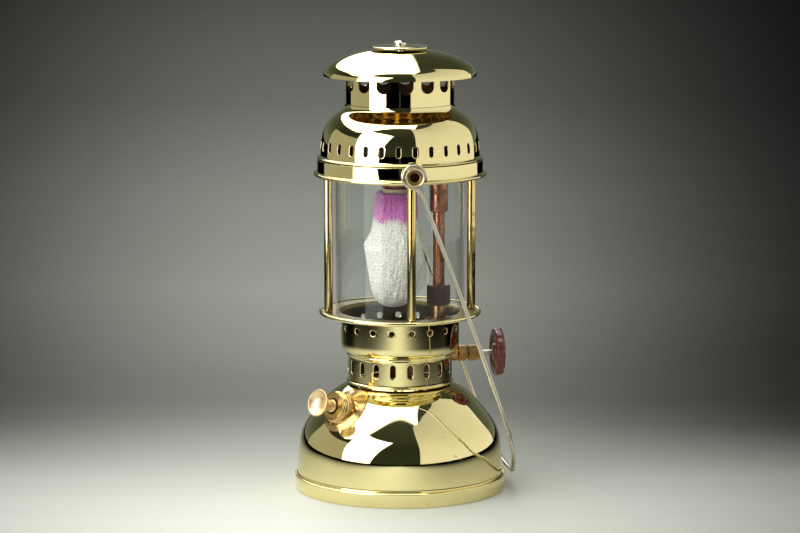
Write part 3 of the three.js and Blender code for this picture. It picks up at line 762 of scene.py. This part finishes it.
def hole_rings(half_width, half_height, per_side, per_end, cell_half_width, cell_half_height):
    """Rings from a hole with round ends out to the edge of its cell: lists of (across, up, sink)."""
    bottom = [(-1 + 2 * i / per_side, -1) for i in range(per_side)]
    right = [(1, -1 + 2 * i / per_end) for i in range(per_end)]
    top = [(1 - 2 * i / per_side, 1) for i in range(per_side)]
    left = [(-1, 1 - 2 * i / per_end) for i in range(per_end)]
    border = np.array(bottom + right + top + left, float) * (cell_half_width, cell_half_height)
    straight = half_height - half_width

    def outline(grow):
        low, high = np.zeros(len(border)), np.ones(len(border))
        for _ in range(40):
            middle = (low + high) / 2
            p = border * middle[:, None]
            beyond = np.maximum(np.abs(p[:, 1]) - straight, 0)
            inside = np.hypot(p[:, 0], beyond) < half_width + grow
            low, high = np.where(inside, middle, low), np.where(inside, high, middle)
        return border * low[:, None]

    rings = [np.column_stack([outline(out), np.full(len(border), sink)]) for out, sink in EDGE]
    outermost = rings[-1][:, :2]
    for share in (0.3, 0.65, 1.0):
        ring = outermost * (1 - share) + border * share
        rings.append(np.column_stack([ring, np.zeros(len(border))]))
    return rings


def pierced(name, profile, count, first_deg, holes, material, per_side=8, row_gap=1.2):
    """A turned sheet with rows of holes. holes are (height of the middle, half width, half height)."""
    points, faces = [], []
    sector = 2 * math.pi / count

    def put(angle, s, sink):
        r, z, out_r, out_z = profile.at(s)
        r, z = r - out_r * sink, z - out_z * sink
        return np.stack([r * np.cos(angle), r * np.sin(angle), z], axis=-1)

    def strip(start, end):
        rows = max(int(math.ceil((end - start) / row_gap)), 1)
        stops = sorted({*np.linspace(start, end, rows + 1), *(s for s in profile.along if start < s < end)})
        stops = [s for i, s in enumerate(stops) if i == 0 or s - stops[i - 1] > 1e-4]
        sides = count * per_side
        angles = math.radians(first_deg) - sector / 2 + np.arange(sides) * 2 * math.pi / sides
        base = len(points)
        for s in stops:
            points.extend(put(angles, np.full(sides, s), 0.0))
        faces.extend(quads(len(stops), sides, first=base))

    reached = 0.0
    for height, half_width, half_height in sorted(holes):
        centre = profile.where(height)
        margin = min(1.6, half_height)
        strip(reached, centre - half_height - margin)
        radius = profile.at(centre)[0]
        half_cell = sector / 2 * radius
        rings = hole_rings(half_width, half_height, per_side, 12, half_cell, half_height + margin)
        for index in range(count):
            middle = math.radians(first_deg) + index * sector
            base = len(points)
            for ring in rings:
                points.extend(put(middle + ring[:, 0] / radius, centre + ring[:, 1], ring[:, 2]))
            faces.extend(quads(len(rings), len(rings[0]), first=base))
        reached = centre + half_height + margin
    strip(reached, profile.along[-1])
    return build(name, points, faces, material, weld=0.01)


# ---- tank ----------------------------------------------------------------------------------------

SHEET = 0.9
FOOT = node_box("foot_ring")
BASE_RADIUS = FOOT[1][1]
# The tank's outside from its side up to the middle of its top, as [radius, height].
SHOULDER = fair([(83.3, 14.2), (82.35, 27), (81.2, 38.5), (78.2, 48.5), (72.6, 57.6), (64.6, 67.6),
                 (55.6, 77), (44.6, 83.8), (30, 88.2), (14, 89.5), (0, 89.6)], 14)


def make_tank():
    wall = [(82.6, 2.5), (82.6, 11.6)] + arc((83.6, 13.0), 1.1, 215, 150, 4) + SHOULDER
    vessel = lathe("tank_vessel", wall, BRASS, 256)
    thicken(vessel, SHEET)
    stands_for(vessel, "tank_shell")
    inner = BASE_RADIUS - 2.1
    top = FOOT[1][2]
    band = soften([(inner, 0), (BASE_RADIUS - 0.3, 0), (BASE_RADIUS, top - 0.2),
                   (BASE_RADIUS - 0.9, top + 0.3), (inner + 0.6, top + 0.2), (inner, top - 0.6)], 0.7)
    turned("foot_ring", "foot_band", band, BRASS, 256, closed=True)


make_tank()

# ---- cage ----------------------------------------------------------------------------------------

BAND_RADIUS = 42.2
COLLAR_RADIUS = 47.8
GALLERY_RADIUS = node_box("cage_base")[1][1]
GALLERY_Z = high_z("cage_base") - 1.9
VENTS = 19  # holes in each row
FIRST_VENT = -87.7  # degrees


def open_notch(neck):
    """Opens the neck at +X, where the control valve passes through it."""
    work = bmesh.new()
    work.from_mesh(neck.data)
    half, top = 7.5 * MM, 115.5 * MM
    for place, normal in (((0, half, 0), (0, 1, 0)), ((0, -half, 0), (0, 1, 0)), ((0, 0, top), (0, 0, 1))):
        everything = [*work.verts, *work.edges, *work.faces]
        bmesh.ops.bisect_plane(work, geom=everything, plane_co=place, plane_no=normal, dist=1e-7)
    inside = []
    for face in work.faces:
        x, y, z = face.calc_center_median()
        if x > 0 and abs(y) < half and z < top:
            inside.append(face)
    bmesh.ops.delete(work, geom=inside, context="FACES")
    work.to_mesh(neck.data)
    work.free()


def make_cage_base():
    bead = [(BAND_RADIUS - 0.2, 86.9), (BAND_RADIUS + 0.4, 86.3)]
    bead += arc((BAND_RADIUS + 0.1, 87.3), 1.0, -60, 75, 8)
    step = [(BAND_RADIUS + 0.05, 88.6), (BAND_RADIUS, 89.4)]
    groove = fair([(BAND_RADIUS, 107.2), (BAND_RADIUS + 0.1, 108.4), (BAND_RADIUS + 1.0, 109.4),
                   (BAND_RADIUS + 1.3, 110.3), (BAND_RADIUS + 1.2, 111.0), (BAND_RADIUS + 2.6, 112.4),
                   (46.4, 114.2), (47.5, 116.6), (COLLAR_RADIUS, 119.5)], 5)
    flare = arc((COLLAR_RADIUS + 2.2, GALLERY_Z - 2.2), 2.2, 180, 90, 8)
    rim = [(GALLERY_RADIUS - 2.6, GALLERY_Z)]
    rim += arc((GALLERY_RADIUS - 1.6, GALLERY_Z + 0.2), 1.6, -80, 110, 12)
    outside = bead + step + groove + [(COLLAR_RADIUS, 120), (COLLAR_RADIUS, 139.5)] + flare + rim
    slots, round_holes = (100.6, 2.2, 5.8), (132.3, 2.3, 2.3001)
    neck = pierced("cage_neck", Profile(outside), VENTS, FIRST_VENT, [slots, round_holes], SEAMED)
    open_notch(neck)
    # The neck's inner side carries the painted shade.
    thicken(neck, SHEET, NECK_PAINTED_SHADE)
    stands_for(neck, "cage_base")


make_cage_base()


def make_posts():
    for side in ("right", "back", "left", "front"):
        low, high = node_box("cage_post_" + side)
        outline = [(0, low[2]), (3.0, low[2]), (3.4, low[2] + 0.5), (3.4, high[2] - 0.5), (3.0, high[2]),
                   (0, high[2])]
        x, y, _ = (low + high) / 2
        outline = soften(outline, 0.4, closed=False)
        turned("cage_post_" + side, "post_" + side, outline, POSTS, 48, shift(x, y))


make_posts()


def make_top_ring():
    z = low_z("cage_top_ring") + 1.2
    top = high_z("cage_top_ring")
    r = 66.3
    outside = [(54, z), (r + 0.6, z), (r + 1.0, z - 0.6)] + arc((r + 1.6, z), 1.35, -110, 75, 10)
    outside += [(r + 0.6, z + 1.5)] + arc((r + 0.9, z + 2.3), 0.9, 240, 180, 4)
    outside += [(r, top - 0.6)] + arc((r - 0.45, top - 0.5), 0.45, 0, 180, 6)
    inside = [(r - 0.9, z + 1.0), (54, z + 0.9)]
    turned("cage_top_ring", "top_ring", outside + inside, BRASS, 256, closed=True)


make_top_ring()


def make_globe():
    low, high = node_box("globe")
    r = high[1]
    outline = soften([(r - 2, low[2]), (r, low[2]), (r, high[2]), (r - 2, high[2])], 0.8)
    turned("globe", "glass_globe", outline, GLASS, 192, closed=True)


make_globe()

# ---- hood ----------------------------------------------------------------------------------------


CHIMNEY_RADIUS = 43.2
OUTLETS = 15
OUTLET_BOTTOM = 322.0
OUTLET_HALF_WIDTH = 6.15
FIRST_OUTLET = -92.4  # degrees


def make_hood():
    low = low_z("hood_dome")
    skirt = [(64.6, low), (64.6, 266.6), (64.8, 267.2), (65.6, 267.4)]
    skirt += arc((65.7, 268.0), 0.55, -80, 95, 6) + [(64.6, 268.7), (63.9, 269.4)]
    dome = fair([(63.65, 270.2), (63.4, 277), (61.9, 286.6), (57.8, 296), (50.8, 303.0), (46.3, 306.0),
                 (44.2, 308.6), (43.6, 311.2)], 10)
    hood = pierced("dome", Profile(skirt + dome), 30, -88, [(278.6, 1.85, 4.35)], BRASS, per_side=6)
    # The hood's inner side: heat tarnish and painted shade.
    thicken(hood, SHEET, TARNISH_AND_PAINTED_SHADE)
    stands_for(hood, "hood_dome")
    make_chimney()
    make_cap()


def make_chimney():
    """A tube with round-bottomed outlets, open at the top between narrow tabs."""
    low, high = node_box("hood_chimney")
    r, half = CHIMNEY_RADIUS, OUTLET_HALF_WIDTH
    sector, per_outlet = 2 * math.pi / OUTLETS, 28
    first = math.radians(FIRST_OUTLET)
    belt = OUTLET_BOTTOM - 6.0  # the sheet is whole up to here
    across = np.linspace(-0.5, 0.5, per_outlet, endpoint=False) * sector * r
    columns = []
    for index in range(OUTLETS):
        for offset in across:
            inside = abs(offset) < half
            lip = OUTLET_BOTTOM + half - math.sqrt(half**2 - offset**2) if inside else high[2]
            angle = first + index * sector + offset / r
            heights = [*np.linspace(low[2], belt, 4), *np.linspace(belt, lip, 14)[1:]]
            columns.append([(r * math.cos(angle), r * math.sin(angle), z) for z in heights])
    points = np.array(columns).transpose(1, 0, 2)
    rows, total = points.shape[:2]
    chimney = build("chimney", points.reshape(-1, 3), quads(rows, total), BRASS)
    # The chimney's inner side: heat tarnish and painted shade.
    thicken(chimney, SHEET, TARNISH_AND_PAINTED_SHADE)
    stands_for(chimney, "hood_chimney")


def make_cap():
    rim = low_z("top_cap") + 0.2
    outside = [(61.0, rim), (60.9, rim + 1.6), (60.5, rim + 3.2)]
    outside += fair([(60.1, rim + 4.0), (57.8, rim + 7.3), (52.9, rim + 11.0), (46.6, rim + 14.2),
                     (38.6, rim + 17.1), (29, rim + 19.4), (18, rim + 20.6), (2.8, rim + 20.7)], 8)
    cap = lathe("cap_shell", outside, BRASS, 256)
    thicken(cap, SHEET, HEATED)
    stands_for(cap, "top_cap")
    low, high = node_box("cap_washer")
    disc = soften([(2.8, high[2] - 1.3), (23.4, high[2] - 1.3), (23.4, high[2]), (2.8, high[2])], 0.5)
    turned("cap_washer", "top_disc", disc, BRASS, 160, closed=True)


make_hood()

# ---- pump ----------------------------------------------------------------------------------------

ON_PUMP = on_tank(-145.3, 62, 71.7, 17.5)
BARREL_RADIUS = 10.8


def tank_radius(height):
    """Outside radius of the tank's shoulder at a height."""
    profile = np.array(SHOULDER)
    return float(np.interp(height, profile[:, 1], profile[:, 0]))


def solder_line(frame_matrix, radius, steps=96):
    """Where a round tube of that radius meets the tank's shoulder."""
    path = []
    for angle in np.arange(steps + 1) * 2 * math.pi / steps:

        def spot(along):
            point = Vector((radius * math.cos(angle), radius * math.sin(angle), along))
            return frame_matrix @ (point * MM) / MM

        low, high = -60.0, 30.0
        for _ in range(40):
            middle = (low + high) / 2
            point = spot(middle)
            outside = math.hypot(point.x, point.y) > tank_radius(point.z) if point.z < 89 else True
            low, high = (low, middle) if outside else (middle, high)
        path.append(tuple(spot(low)))
    return path


def make_saddle():
    """The flared skirt that is soldered to the tank round the barrel."""
    sections = [(11.0, 9.0), (11.6, 6.4), (12.8, 4.2), (14.4, 2.6), (16.2, 1.6), (18.0, 1.0), (19.0, 0.6),
                (19.3, -0.3)]
    ahead = np.array(ON_PUMP.to_3x3() @ Vector((0, 0, 1)))
    limit = np.array(ON_PUMP.translation) / MM
    rows = []
    for radius, lift in sections:
        line = solder_line(ON_PUMP, radius)[:-1]
        row = []
        for point in line:
            point = np.array(point) + ahead * lift
            beyond = np.dot(point - limit, ahead)
            row.append(point - ahead * max(beyond + 0.3, 0) if radius < 13 else point)
        rows.append(row)
    saddle = build("saddle", np.array(rows).reshape(-1, 3), quads(len(rows), len(rows[0])), SADDLE)
    thicken(saddle, 0.6, even=False)
    return saddle


def make_pump():
    barrel = lathe("barrel", soften([(9.6, -125), (10.8, -125), (10.8, 9), (9.6, 9)], 0.2), PLAIN, 96,
                   closed=True)
    place_at(barrel, ON_PUMP)
    bead = swept("solder", solder_line(ON_PUMP, BARREL_RADIUS + 0.4), 1.25, PLAIN, 12)
    stud = soften([(0, -1), (2.1, -1), (2.1, 0.9), (1.2, 1.7), (0, 1.8)], 0.3, closed=False)
    stud = place_at(lathe("stud", stud, PLAIN, 32), on_tank(-125.5, 49.6, 81.0, 62))
    stands_for(merged("pump_barrel_soldered", barrel, bead, make_saddle(), stud), "pump_barrel")
    outline = [(6.5, 12.6), (10.2, 12.6), (11.3, 12.2), (11.5, 11.6), (11.1, 11.2), (11.1, 10.9),
               (11.9, 10.5), (12.1, 10.1), (11.7, 9.7), (11.7, 9.4), (12.5, 9.0), (12.7, 8.6), (12.5, 8.2),
               (12.0, 7.9), (12.0, 7.5), (12.6, 7.2), (12.61, 4.0), (12.6, 0.6), (12.2, 0.0), (11.0, 0.0),
               (11.0, 9.6), (6.5, 9.6)]

    def ribbed(angle, r, z):
        return r - 0.22 * (0.5 + 0.5 * math.cos(60 * angle)) if r > 12.55 and 0.3 < z < 7.4 else r

    turned("pump_cap", "pump_cap_ribbed", outline, PLAIN, 240, ON_PUMP, closed=True, radius_at=ribbed)
    knob = soften([(0, 19.4), (2.5, 19.4), (2.5, 9.4), (4.7, 9.4), (5.1, 10.0), (5.1, 13.8), (4.5, 14.4),
                   (4.3, 17.6), (4.8, 20.0)], 0.3, closed=False)
    knob += fair([(4.8, 20.0), (5.6, 22.6), (7.5, 25.4), (9.4, 27.2), (10.4, 28.4)], 5)[1:]
    knob += arc((10.3, 29.0), 0.55, -40, 150, 6)
    knob += fair([(9.7, 28.8), (8.4, 27.5), (6.0, 25.7), (3.0, 24.7), (0, 24.5)], 5)
    turned("pump_knob", "trumpet_knob", knob, DISH, 96, ON_PUMP)
    rod = soften([(0, -114), (2.2, -114), (2.2, 19.2), (0, 19.2)], 0.3, closed=False)
    turned("plunger_rod", "pump_rod", rod, STEEL, 32, ON_PUMP)


make_pump()

# ---- filler and gauge ----------------------------------------------------------------------------

ON_FILLER = on_tank(90, 57, 76.2, 58)


def make_filler():
    neck = ring("neck", 9.5, 12, -4, 8, PLAIN, 0.3)
    place_at(neck, ON_FILLER)
    bead = swept("filler_solder", solder_line(ON_FILLER, 12.5), 1.1, PLAIN, 12)
    stands_for(merged("filler_neck_soldered", neck, bead), "filler_neck")

    def knurled(angle, r, z):
        return r - 0.3 * (0.5 + 0.5 * math.cos(72 * angle)) if r > 15.1 and 2.4 < z < 11.1 else r

    outline = [(0, 10), (12.4, 10), (12.4, 2), (14.8, 2), (15.2, 2.5), (15.2, 6), (15.2, 11.0),
               (14.8, 11.6), (14.2, 12.2), (0, 12.2)]
    turned("filler_cap", "knurled_cap", outline, PLAIN, 288, ON_FILLER, radius_at=knurled)
    case = soften([(0, 12.5), (13, 12.5), (13, 19.6), (11.9, 19.6), (11.9, 13.5), (0, 13.5)], 0.4,
                  closed=False)
    turned("gauge_case", "gauge_rim", case, BRASS, 96, ON_FILLER)
    lens = [(0, 17.4), (11.5, 17.4)] + fair([(11.5, 18.6), (8, 19.15), (4, 19.5), (0, 19.6)], 5)
    turned("gauge_lens", "gauge_glass", lens, GLASS, 96, ON_FILLER)
    sideways = ON_FILLER @ shift(z=6) @ Matrix.Rotation(math.pi / 2, 4, "X")

    def gripped(angle, r, z):
        return r - 0.25 * (0.5 + 0.5 * math.cos(24 * angle)) if r > 3.9 and z > 18.2 else r

    screw = [(0, 13), (1.8, 13), (1.8, 17.5), (3.6, 17.6), (4, 18.1), (4, 20), (4, 22.8), (3.4, 23.6),
             (0, 23.6)]
    turned("release_screw", "vent_screw", screw, PLAIN, 144, sideways, radius_at=gripped)
    gasket = ring("gasket", 9.8, 12, 8.3, 9.7, RUBBER, 0.3)
    stands_for(place_at(gasket, ON_FILLER), "filler_gasket")


make_filler()

# ---- carburettor, control valve and vaporizer ----------------------------------------------------

VAPORIZER_X = 31.5
SPINDLE_Z = 107.6
AT_VAPORIZER = shift(VAPORIZER_X)


def make_carburettor():
    outline = [(3.2, 84), (5, 84), (5, 96.8), (8.4, 96.8), (9, 97.5), (9, 99.6), (8.6, 100), (8.6, 101.4),
               (9, 101.8), (9, 120.2), (8.4, 121), (5.8, 121.2), (5.8, 155), (3.2, 155)]
    upright = place_at(lathe("upright", soften(outline, 0.3), AGED, 96, closed=True), AT_VAPORIZER)
    arm = [(2.5, 6), (6.2, 6), (6.2, 14.4), (5.6, 15.5), (4.5, 15.6), (4.5, 28.5), (2.5, 28.5)]
    arm = place_at(lathe("arm", soften(arm, 0.25), AGED, 64, closed=True),
                   AT_VAPORIZER @ along_x(SPINDLE_Z))
    stands_for(merged("valve_body", upright, arm), "carburettor_body")
    nut = hex_nut("tank_nut", 14, 5.3, 90.8, 96.4, AGED)
    stands_for(place_at(nut, AT_VAPORIZER), "carburettor_nut")
    lock = hex_nut("lock_nut", 12, 4.7, 47.3, 53.5, AGED)
    stands_for(place_at(lock, along_x(SPINDLE_Z)), "valve_lock_nut")
    packing = hex_nut("gland_nut", 12, 2.4, 55.3, 63.4, AGED)
    gland = ring("gland", 2.4, 5.2, 63.2, 66.2, AGED, 0.4)
    stands_for(place_at(merged("gland_nut_turned", packing, gland), along_x(SPINDLE_Z)), "packing_nut")


def make_wheel():
    lobes = 12

    def lobed(angle, r, z):
        return r - 0.9 * (0.5 - 0.5 * math.cos(lobes * angle)) ** 2 if r > 17.5 else r

    inner, outer, r = 75.6, 83.4, 19.4
    outline = [(2.4, inner + 0.4), (6.2, inner), (6.8, inner + 0.5), (7.4, inner + 2.4),
               (14.6, inner + 2.6), (15.6, inner + 1.2), (16.2, inner + 0.9)]
    outline += [(18.2, inner + 0.9), (19.1, inner + 1.6), (r, inner + 2.6), (r, outer - 1.6),
                (19.0, outer - 0.5), (18.0, outer)]
    outline += [(15.8, outer), (14.8, outer - 1.1), (8.0, outer - 1.4), (6.8, outer - 0.1),
                (4.2, outer - 0.1), (4.2, outer - 1.8), (2.4, outer - 1.8)]
    outline = soften(outline, 0.35)
    turned("control_wheel", "lobed_wheel", outline, PHENOLIC, 288, along_x(SPINDLE_Z), closed=True,
           radius_at=lobed)
    head = [(0, 81.7), (3.4, 81.7), (3.4, 82.5), (3.1, 83.1), (2.2, 83.6), (0, 83.8)]
    turned("wheel_screw", "wheel_screw_head", head, NICKEL, 48, along_x(SPINDLE_Z))


def make_vaporizer():
    cup = soften([(6.1, 124), (11.0, 124), (11.3, 124.4), (11.3, 136), (10.5, 136), (10.5, 124.8),
                  (6.1, 124.8)], 0.25)
    turned("preheating_cup", "spirit_cup", cup, AGED, 96, AT_VAPORIZER, closed=True)
    nut = hex_nut("union_nut", 16.4, 5.0, 147.7, 164.1, DARK)
    stands_for(place_at(nut, AT_VAPORIZER @ Matrix.Rotation(math.radians(21.1), 4, "Z")), "vaporizer_nut")
    stands_for(place_at(ring("hot_tube", 3, 4.7, 155.9, 250, COPPER), AT_VAPORIZER), "vaporizer_tube")
    outline = [(5, 223.4), (6.6, 223.4), (7.2, 224.2), (7.2, 238.4), (6.9, 238.8), (6.9, 239.6), (7.2, 240),
               (7.2, 250), (5, 250)]
    turned("vaporizer_sleeve", "hot_sleeve", soften(outline, 0.3), COPPER, 96, AT_VAPORIZER, closed=True)


make_carburettor()
make_wheel()
make_vaporizer()

# ---- bail ----------------------------------------------------------------------------------------

BAIL_REACH = 71.4


def make_bushes():
    outline = [(0, 66.6), (3.6, 66.6), (3.6, 69.4), (5.4, 69.5), (5.7, 70), (5.7, 73.0)]
    outline += fair([(5.9, 73.8), (6.5, 74.9), (7.1, 75.7), (7.6, 76.3)], 4) + arc((7.25, 76.6), 0.5, -20,
                                                                                   140, 5)
    outline += fair([(6.6, 76.8), (5.8, 76.2), (5.1, 75.0), (4.8, 74.0)], 4) + [(4.3, 73.7), (3.7, 73.8),
                                                                                (3.4, 73.2)]
    outline += [(3.3, 70.4), (2.9, 69.8), (0, 69.8)]
    for side, degrees in (("front", -90), ("back", 90)):
        turn = Matrix.Rotation(math.radians(degrees), 4, "Z") @ Matrix.Rotation(math.pi / 2, 4, "Y")
        turned("bail_bush_" + side, "bush_" + side, outline, BUSH_PAINTED_SHADE, 96, shift(z=PIVOT_Z) @ turn)


def curve_through(points, per_span):
    """A centripetal curve through points in space."""
    points = np.array(points, float)
    p = np.vstack([2 * points[0] - points[1], points, 2 * points[-1] - points[-2]])
    made = []

    def between(t, u, i, j, first, second):
        return ((t[j] - u) * first + (u - t[i]) * second) / (t[j] - t[i])

    for i in range(1, len(p) - 2):
        gaps = np.sqrt(np.linalg.norm(np.diff(p[i - 1: i + 3], axis=0), axis=1))
        t = np.concatenate([[0], np.cumsum(gaps)])
        for u in np.linspace(t[1], t[2], per_span, endpoint=False):
            a, b, c = (between(t, u, k, k + 1, p[i - 1 + k], p[i + k]) for k in range(3))
            made.append(between(t, u, 1, 2, between(t, u, 0, 2, a, b), between(t, u, 1, 3, b, c)))
    made.append(p[-2])
    return np.array(made)


# Half of the arched bar in the bail's own plane: [distance from its middle, height above its lowest point].
BAIL_ARCH = [(74.5, 110), (77, 56), (74.8, 39), (69.6, 29), (61, 22), (50, 15.4), (39, 8.6), (30, 4.2),
             (20, 1.2), (10, 0.2), (0, 0)]
BAIL_BOW = 3.0  # how far each side of the wire bows away from the lantern
BAIL_REST = np.array([88.6, 12.8])  # where the middle of the arch lies at rest: [x, z]


def make_bail():
    down = PIVOT_Z - BAIL_REST[1]
    length = math.hypot(BAIL_REST[0], down)
    half = [(8.5 * math.cos(a), -BAIL_REACH, 8.5 * math.sin(a))
            for a in np.radians(np.arange(-48, 247, 14))]
    half += [(-1.6, -BAIL_REACH, -10.0), (-0.4, -BAIL_REACH, -12.6), (0, -BAIL_REACH, -16),
             (0, -BAIL_REACH, -70)]
    half += [(0, -across, up - length) for across, up in BAIL_ARCH]
    half = [(x + (BAIL_BOW * math.sin(math.pi * z / -length) if z < 0 else 0), y, z) for x, y, z in half]
    points = half + [(x, -y, z) for x, y, z in reversed(half[:-1])]
    turn = Matrix.Rotation(-math.atan2(BAIL_REST[0], down), 3, "Y")
    points = [np.array(turn @ Vector(p)) + (0, 0, PIVOT_Z) for p in points]
    stands_for(swept("bail_wire", curve_through(points, 8), 1.7, WIRE, 24), "bail")


make_bushes()
make_bail()

# ---- burner --------------------------------------------------------------------------------------

BURNER_X = -3.0
AT_BURNER = shift(BURNER_X)


def make_burner():
    # The casing wall: heat tarnish and painted shade.
    wall = lathe("casing_wall", [(63, 257.6), (50.6, 257.6), (50.2, 258), (50.2, 286)]
                 + fair([(50.2, 288), (48, 292.6), (42, 299), (38, 303), (36, 308)], 5), TARNISH_AND_PAINTED_SHADE, 192)
    thicken(wall, SHEET)
    plate = place_at(ring("spider_ring", 7.9, 13, 257.5, 258.7, PLAIN, 0.3), AT_BURNER)
    arms = []
    for degrees in (90, 180, 270):
        arm = block("arm", (9, 49.8), (-3.5, 3.5), (257.5, 258.7), PLAIN)
        arms.append(place_at(arm, Matrix.Rotation(math.radians(degrees), 4, "Z")))
    stands_for(merged("casing", wall, plate, *arms), "inner_casing")
    bend = (VAPORIZER_X - BURNER_X) / 2
    path = [(VAPORIZER_X, 0, z) for z in (266, 273, 278)]
    for angle in np.radians(np.arange(0, 181, 7.5)):
        path.append((BURNER_X + bend + bend * math.cos(angle), 0, 280 + bend * math.sin(angle)))
    path += [(BURNER_X, 0, z) for z in (276, 270, 257.5)]
    pipe = swept("bent_pipe", path, 7.5, PLAIN, 48, closed_ends=False)
    thicken(pipe, 1.1)
    stands_for(pipe, "mixing_tube")
    head = soften([(6, 243.3), (11.2, 243.3), (12.2, 245.4), (12.6, 246.0), (13, 249), (13, 257.2),
                   (6, 257.2)], 0.4)
    turned("burner_head", "burner_plug", head, COPPER, 96, AT_BURNER, closed=True)
    nozzle = soften([(4.6, 230), (9.6, 230), (10.2, 231), (10.2, 233), (8.6, 234), (8.6, 236.4),
                     (10.9, 237.4), (10.9, 243), (4.6, 243)], 0.6)
    turned("ceramic_nozzle", "clay_nozzle", nozzle, CERAMIC, 96, AT_BURNER, closed=True)


MANTLE_ROWS = KNIT_ROWS * 5
MANTLE_SIDES = KNIT_COLUMNS * 5


def fold(angle, height, towards_deg, level, reach, depth):
    """How far a soft fold on one side of the mantle stands out."""
    facing = max(math.cos(angle - math.radians(towards_deg)), 0)
    return depth * math.exp(-((height - level) / reach) ** 2) * facing**5


def mantle_point(row, column, radius, height):
    """A point of the mantle: dented, crumpled and folded below the tie, frilled above it."""
    angle = 2 * math.pi * column / MANTLE_SIDES
    spot = Vector((math.cos(angle) * 1.3, math.sin(angle) * 1.3, height * 0.02))
    dent = 1.5 * noise.noise(spot * 1.6) + 0.9 * noise.noise(spot * 4.2)
    crumple = 0.35 * noise.noise(spot * 11) + 0.22 * noise.noise(spot * 24)
    folds = fold(angle, height, 188, 197, 6.5, 2.0) + fold(angle, height, -12, 185, 6.0, 1.7)
    frill = max(1 - row / MANTLE_ROWS * 9, 0.0)
    wave = frill * (0.7 * math.sin(6 * angle + 1.1) + 0.5 * math.sin(11 * angle))
    free = min(1.0, radius / 12) * (1 - 0.8 * min(frill * 2, 1.0))
    stitch = math.sin(2 * math.pi * column / 5 + math.pi * (row // 5)) * math.sin(2 * math.pi * row / 5)
    r = radius + free * (dent + folds + crumple) + 0.6 * wave + min(1.0, radius / 8) * 0.10 * stitch
    lean = 0.0283 * (height - 236)
    rise = 0.5 * dent * free + 1.2 * wave
    return BURNER_X + lean + r * math.cos(angle), r * math.sin(angle), height + rise


def make_mantle():
    """A knitted sock tied round the nozzle: its open end stands up past the tie and folds over outwards."""
    profile = Profile(fair([
        (11.2, 235.4), (11.8, 237.6), (13.2, 239.4), (14.9, 240.3), (16.0, 239.0), (16.2, 236), (16.6, 230),
        (17.6, 222), (18.3, 214), (19.6, 206), (21.9, 197), (22.4, 187), (20.8, 174.5), (17.5, 159.5),
        (13, 151.6), (7, 147.9), (2, 146.9), (0.25, 146.8)], 12))
    stops = np.arange(MANTLE_ROWS + 1) / MANTLE_ROWS * profile.along[-1]
    radii = np.interp(stops, profile.along, profile.points[:, 0])
    heights = np.interp(stops, profile.along, profile.points[:, 1])
    points = []
    for row, (radius, height) in enumerate(zip(radii, heights)):
        points += [mantle_point(row, column, radius, height) for column in range(MANTLE_SIDES)]
    faces = [(a, d, c, b) for a, b, c, d in quads(MANTLE_ROWS + 1, MANTLE_SIDES)]
    faces.append(tuple(MANTLE_ROWS * MANTLE_SIDES + k for k in range(MANTLE_SIDES)))
    mesh = bpy.data.meshes.new("mantle_cloth")
    mesh.from_pydata([tuple(p) for p in np.array(points) * MM], [], faces)
    layer = mesh.uv_layers.new(name="cloth")
    for polygon in mesh.polygons:
        at_seam = polygon.index % MANTLE_SIDES == MANTLE_SIDES - 1
        for corner in polygon.loop_indices:
            row, column = divmod(mesh.loops[corner].vertex_index, MANTLE_SIDES)
            u = 1.0 if at_seam and column == 0 else column / MANTLE_SIDES
            layer.data[corner].uv = (u, row / MANTLE_ROWS)
        polygon.use_smooth = True
    mesh.materials.append(CLOTH)
    mantle = linked("mantle_cloth", mesh)
    thicken(mantle, 0.6, even=False)
    for polygon in mantle.data.polygons:
        polygon.use_smooth = True
    stands_for(mantle, "mantle")


def make_tie():
    loop = [(11.15 * math.cos(a), 11.15 * math.sin(a), 235.4 + 0.25 * math.sin(3 * a))
            for a in np.linspace(0, 2 * math.pi, 97)]
    stands_for(place_at(swept("tie_cord", loop, 0.5, CORD, 12), AT_BURNER), "mantle_tie")


make_burner()
make_mantle()
make_tie()

# ---- small pieces of the tank and hood ------------------------------------------------------------


def make_small_pieces():
    # The seat ring is painted dark: painted shade where it shows through the neck's slots.
    stands_for(ring("seat", 39.9, 40.9, 86.4, 96, TARNISH_AND_PAINTED_SHADE, 0.3, 192), "cage_seat_ring")
    stands_for(place_at(ring("boss", 5.3, 7.9, 83.5, 90.5, PLAIN, 0.3), AT_VAPORIZER), "tank_boss")
    plate = lathe("dished_plate", fair([(0, 7.5), (30, 7.0), (60, 5.2), (81.3, 3)], 10), PLAIN, 192)
    thicken(plate, 1.2)
    stands_for(plate, "tank_bottom_plate")
    head = [(0, 345.5), (2.5, 345.5), (2.5, 357), (4.9, 357), (5.2, 357.4), (5.2, 359.2)]
    head += fair([(5.0, 359.6), (3.6, 360.6), (1.8, 360.95), (0, 361)], 4)
    screw = lathe("cap_screw_head", head, NICKEL, 64)
    cut(screw, block("slot", (-7, 7), (-0.6, 0.6), (359.4, 363), NICKEL, 0.05))
    stands_for(screw, "cap_screw")
    reach = CHIMNEY_RADIUS - SHEET - 1.1
    strap = block("strap", (-reach, reach), (-5, 5), (343.6, 345), PLAIN)
    hub = ring("hub", 2.8, 5, 344, 352.6, PLAIN, 0.3, 48)
    stands_for(merged("bridge", strap, hub), "hood_bridge")


make_small_pieces()
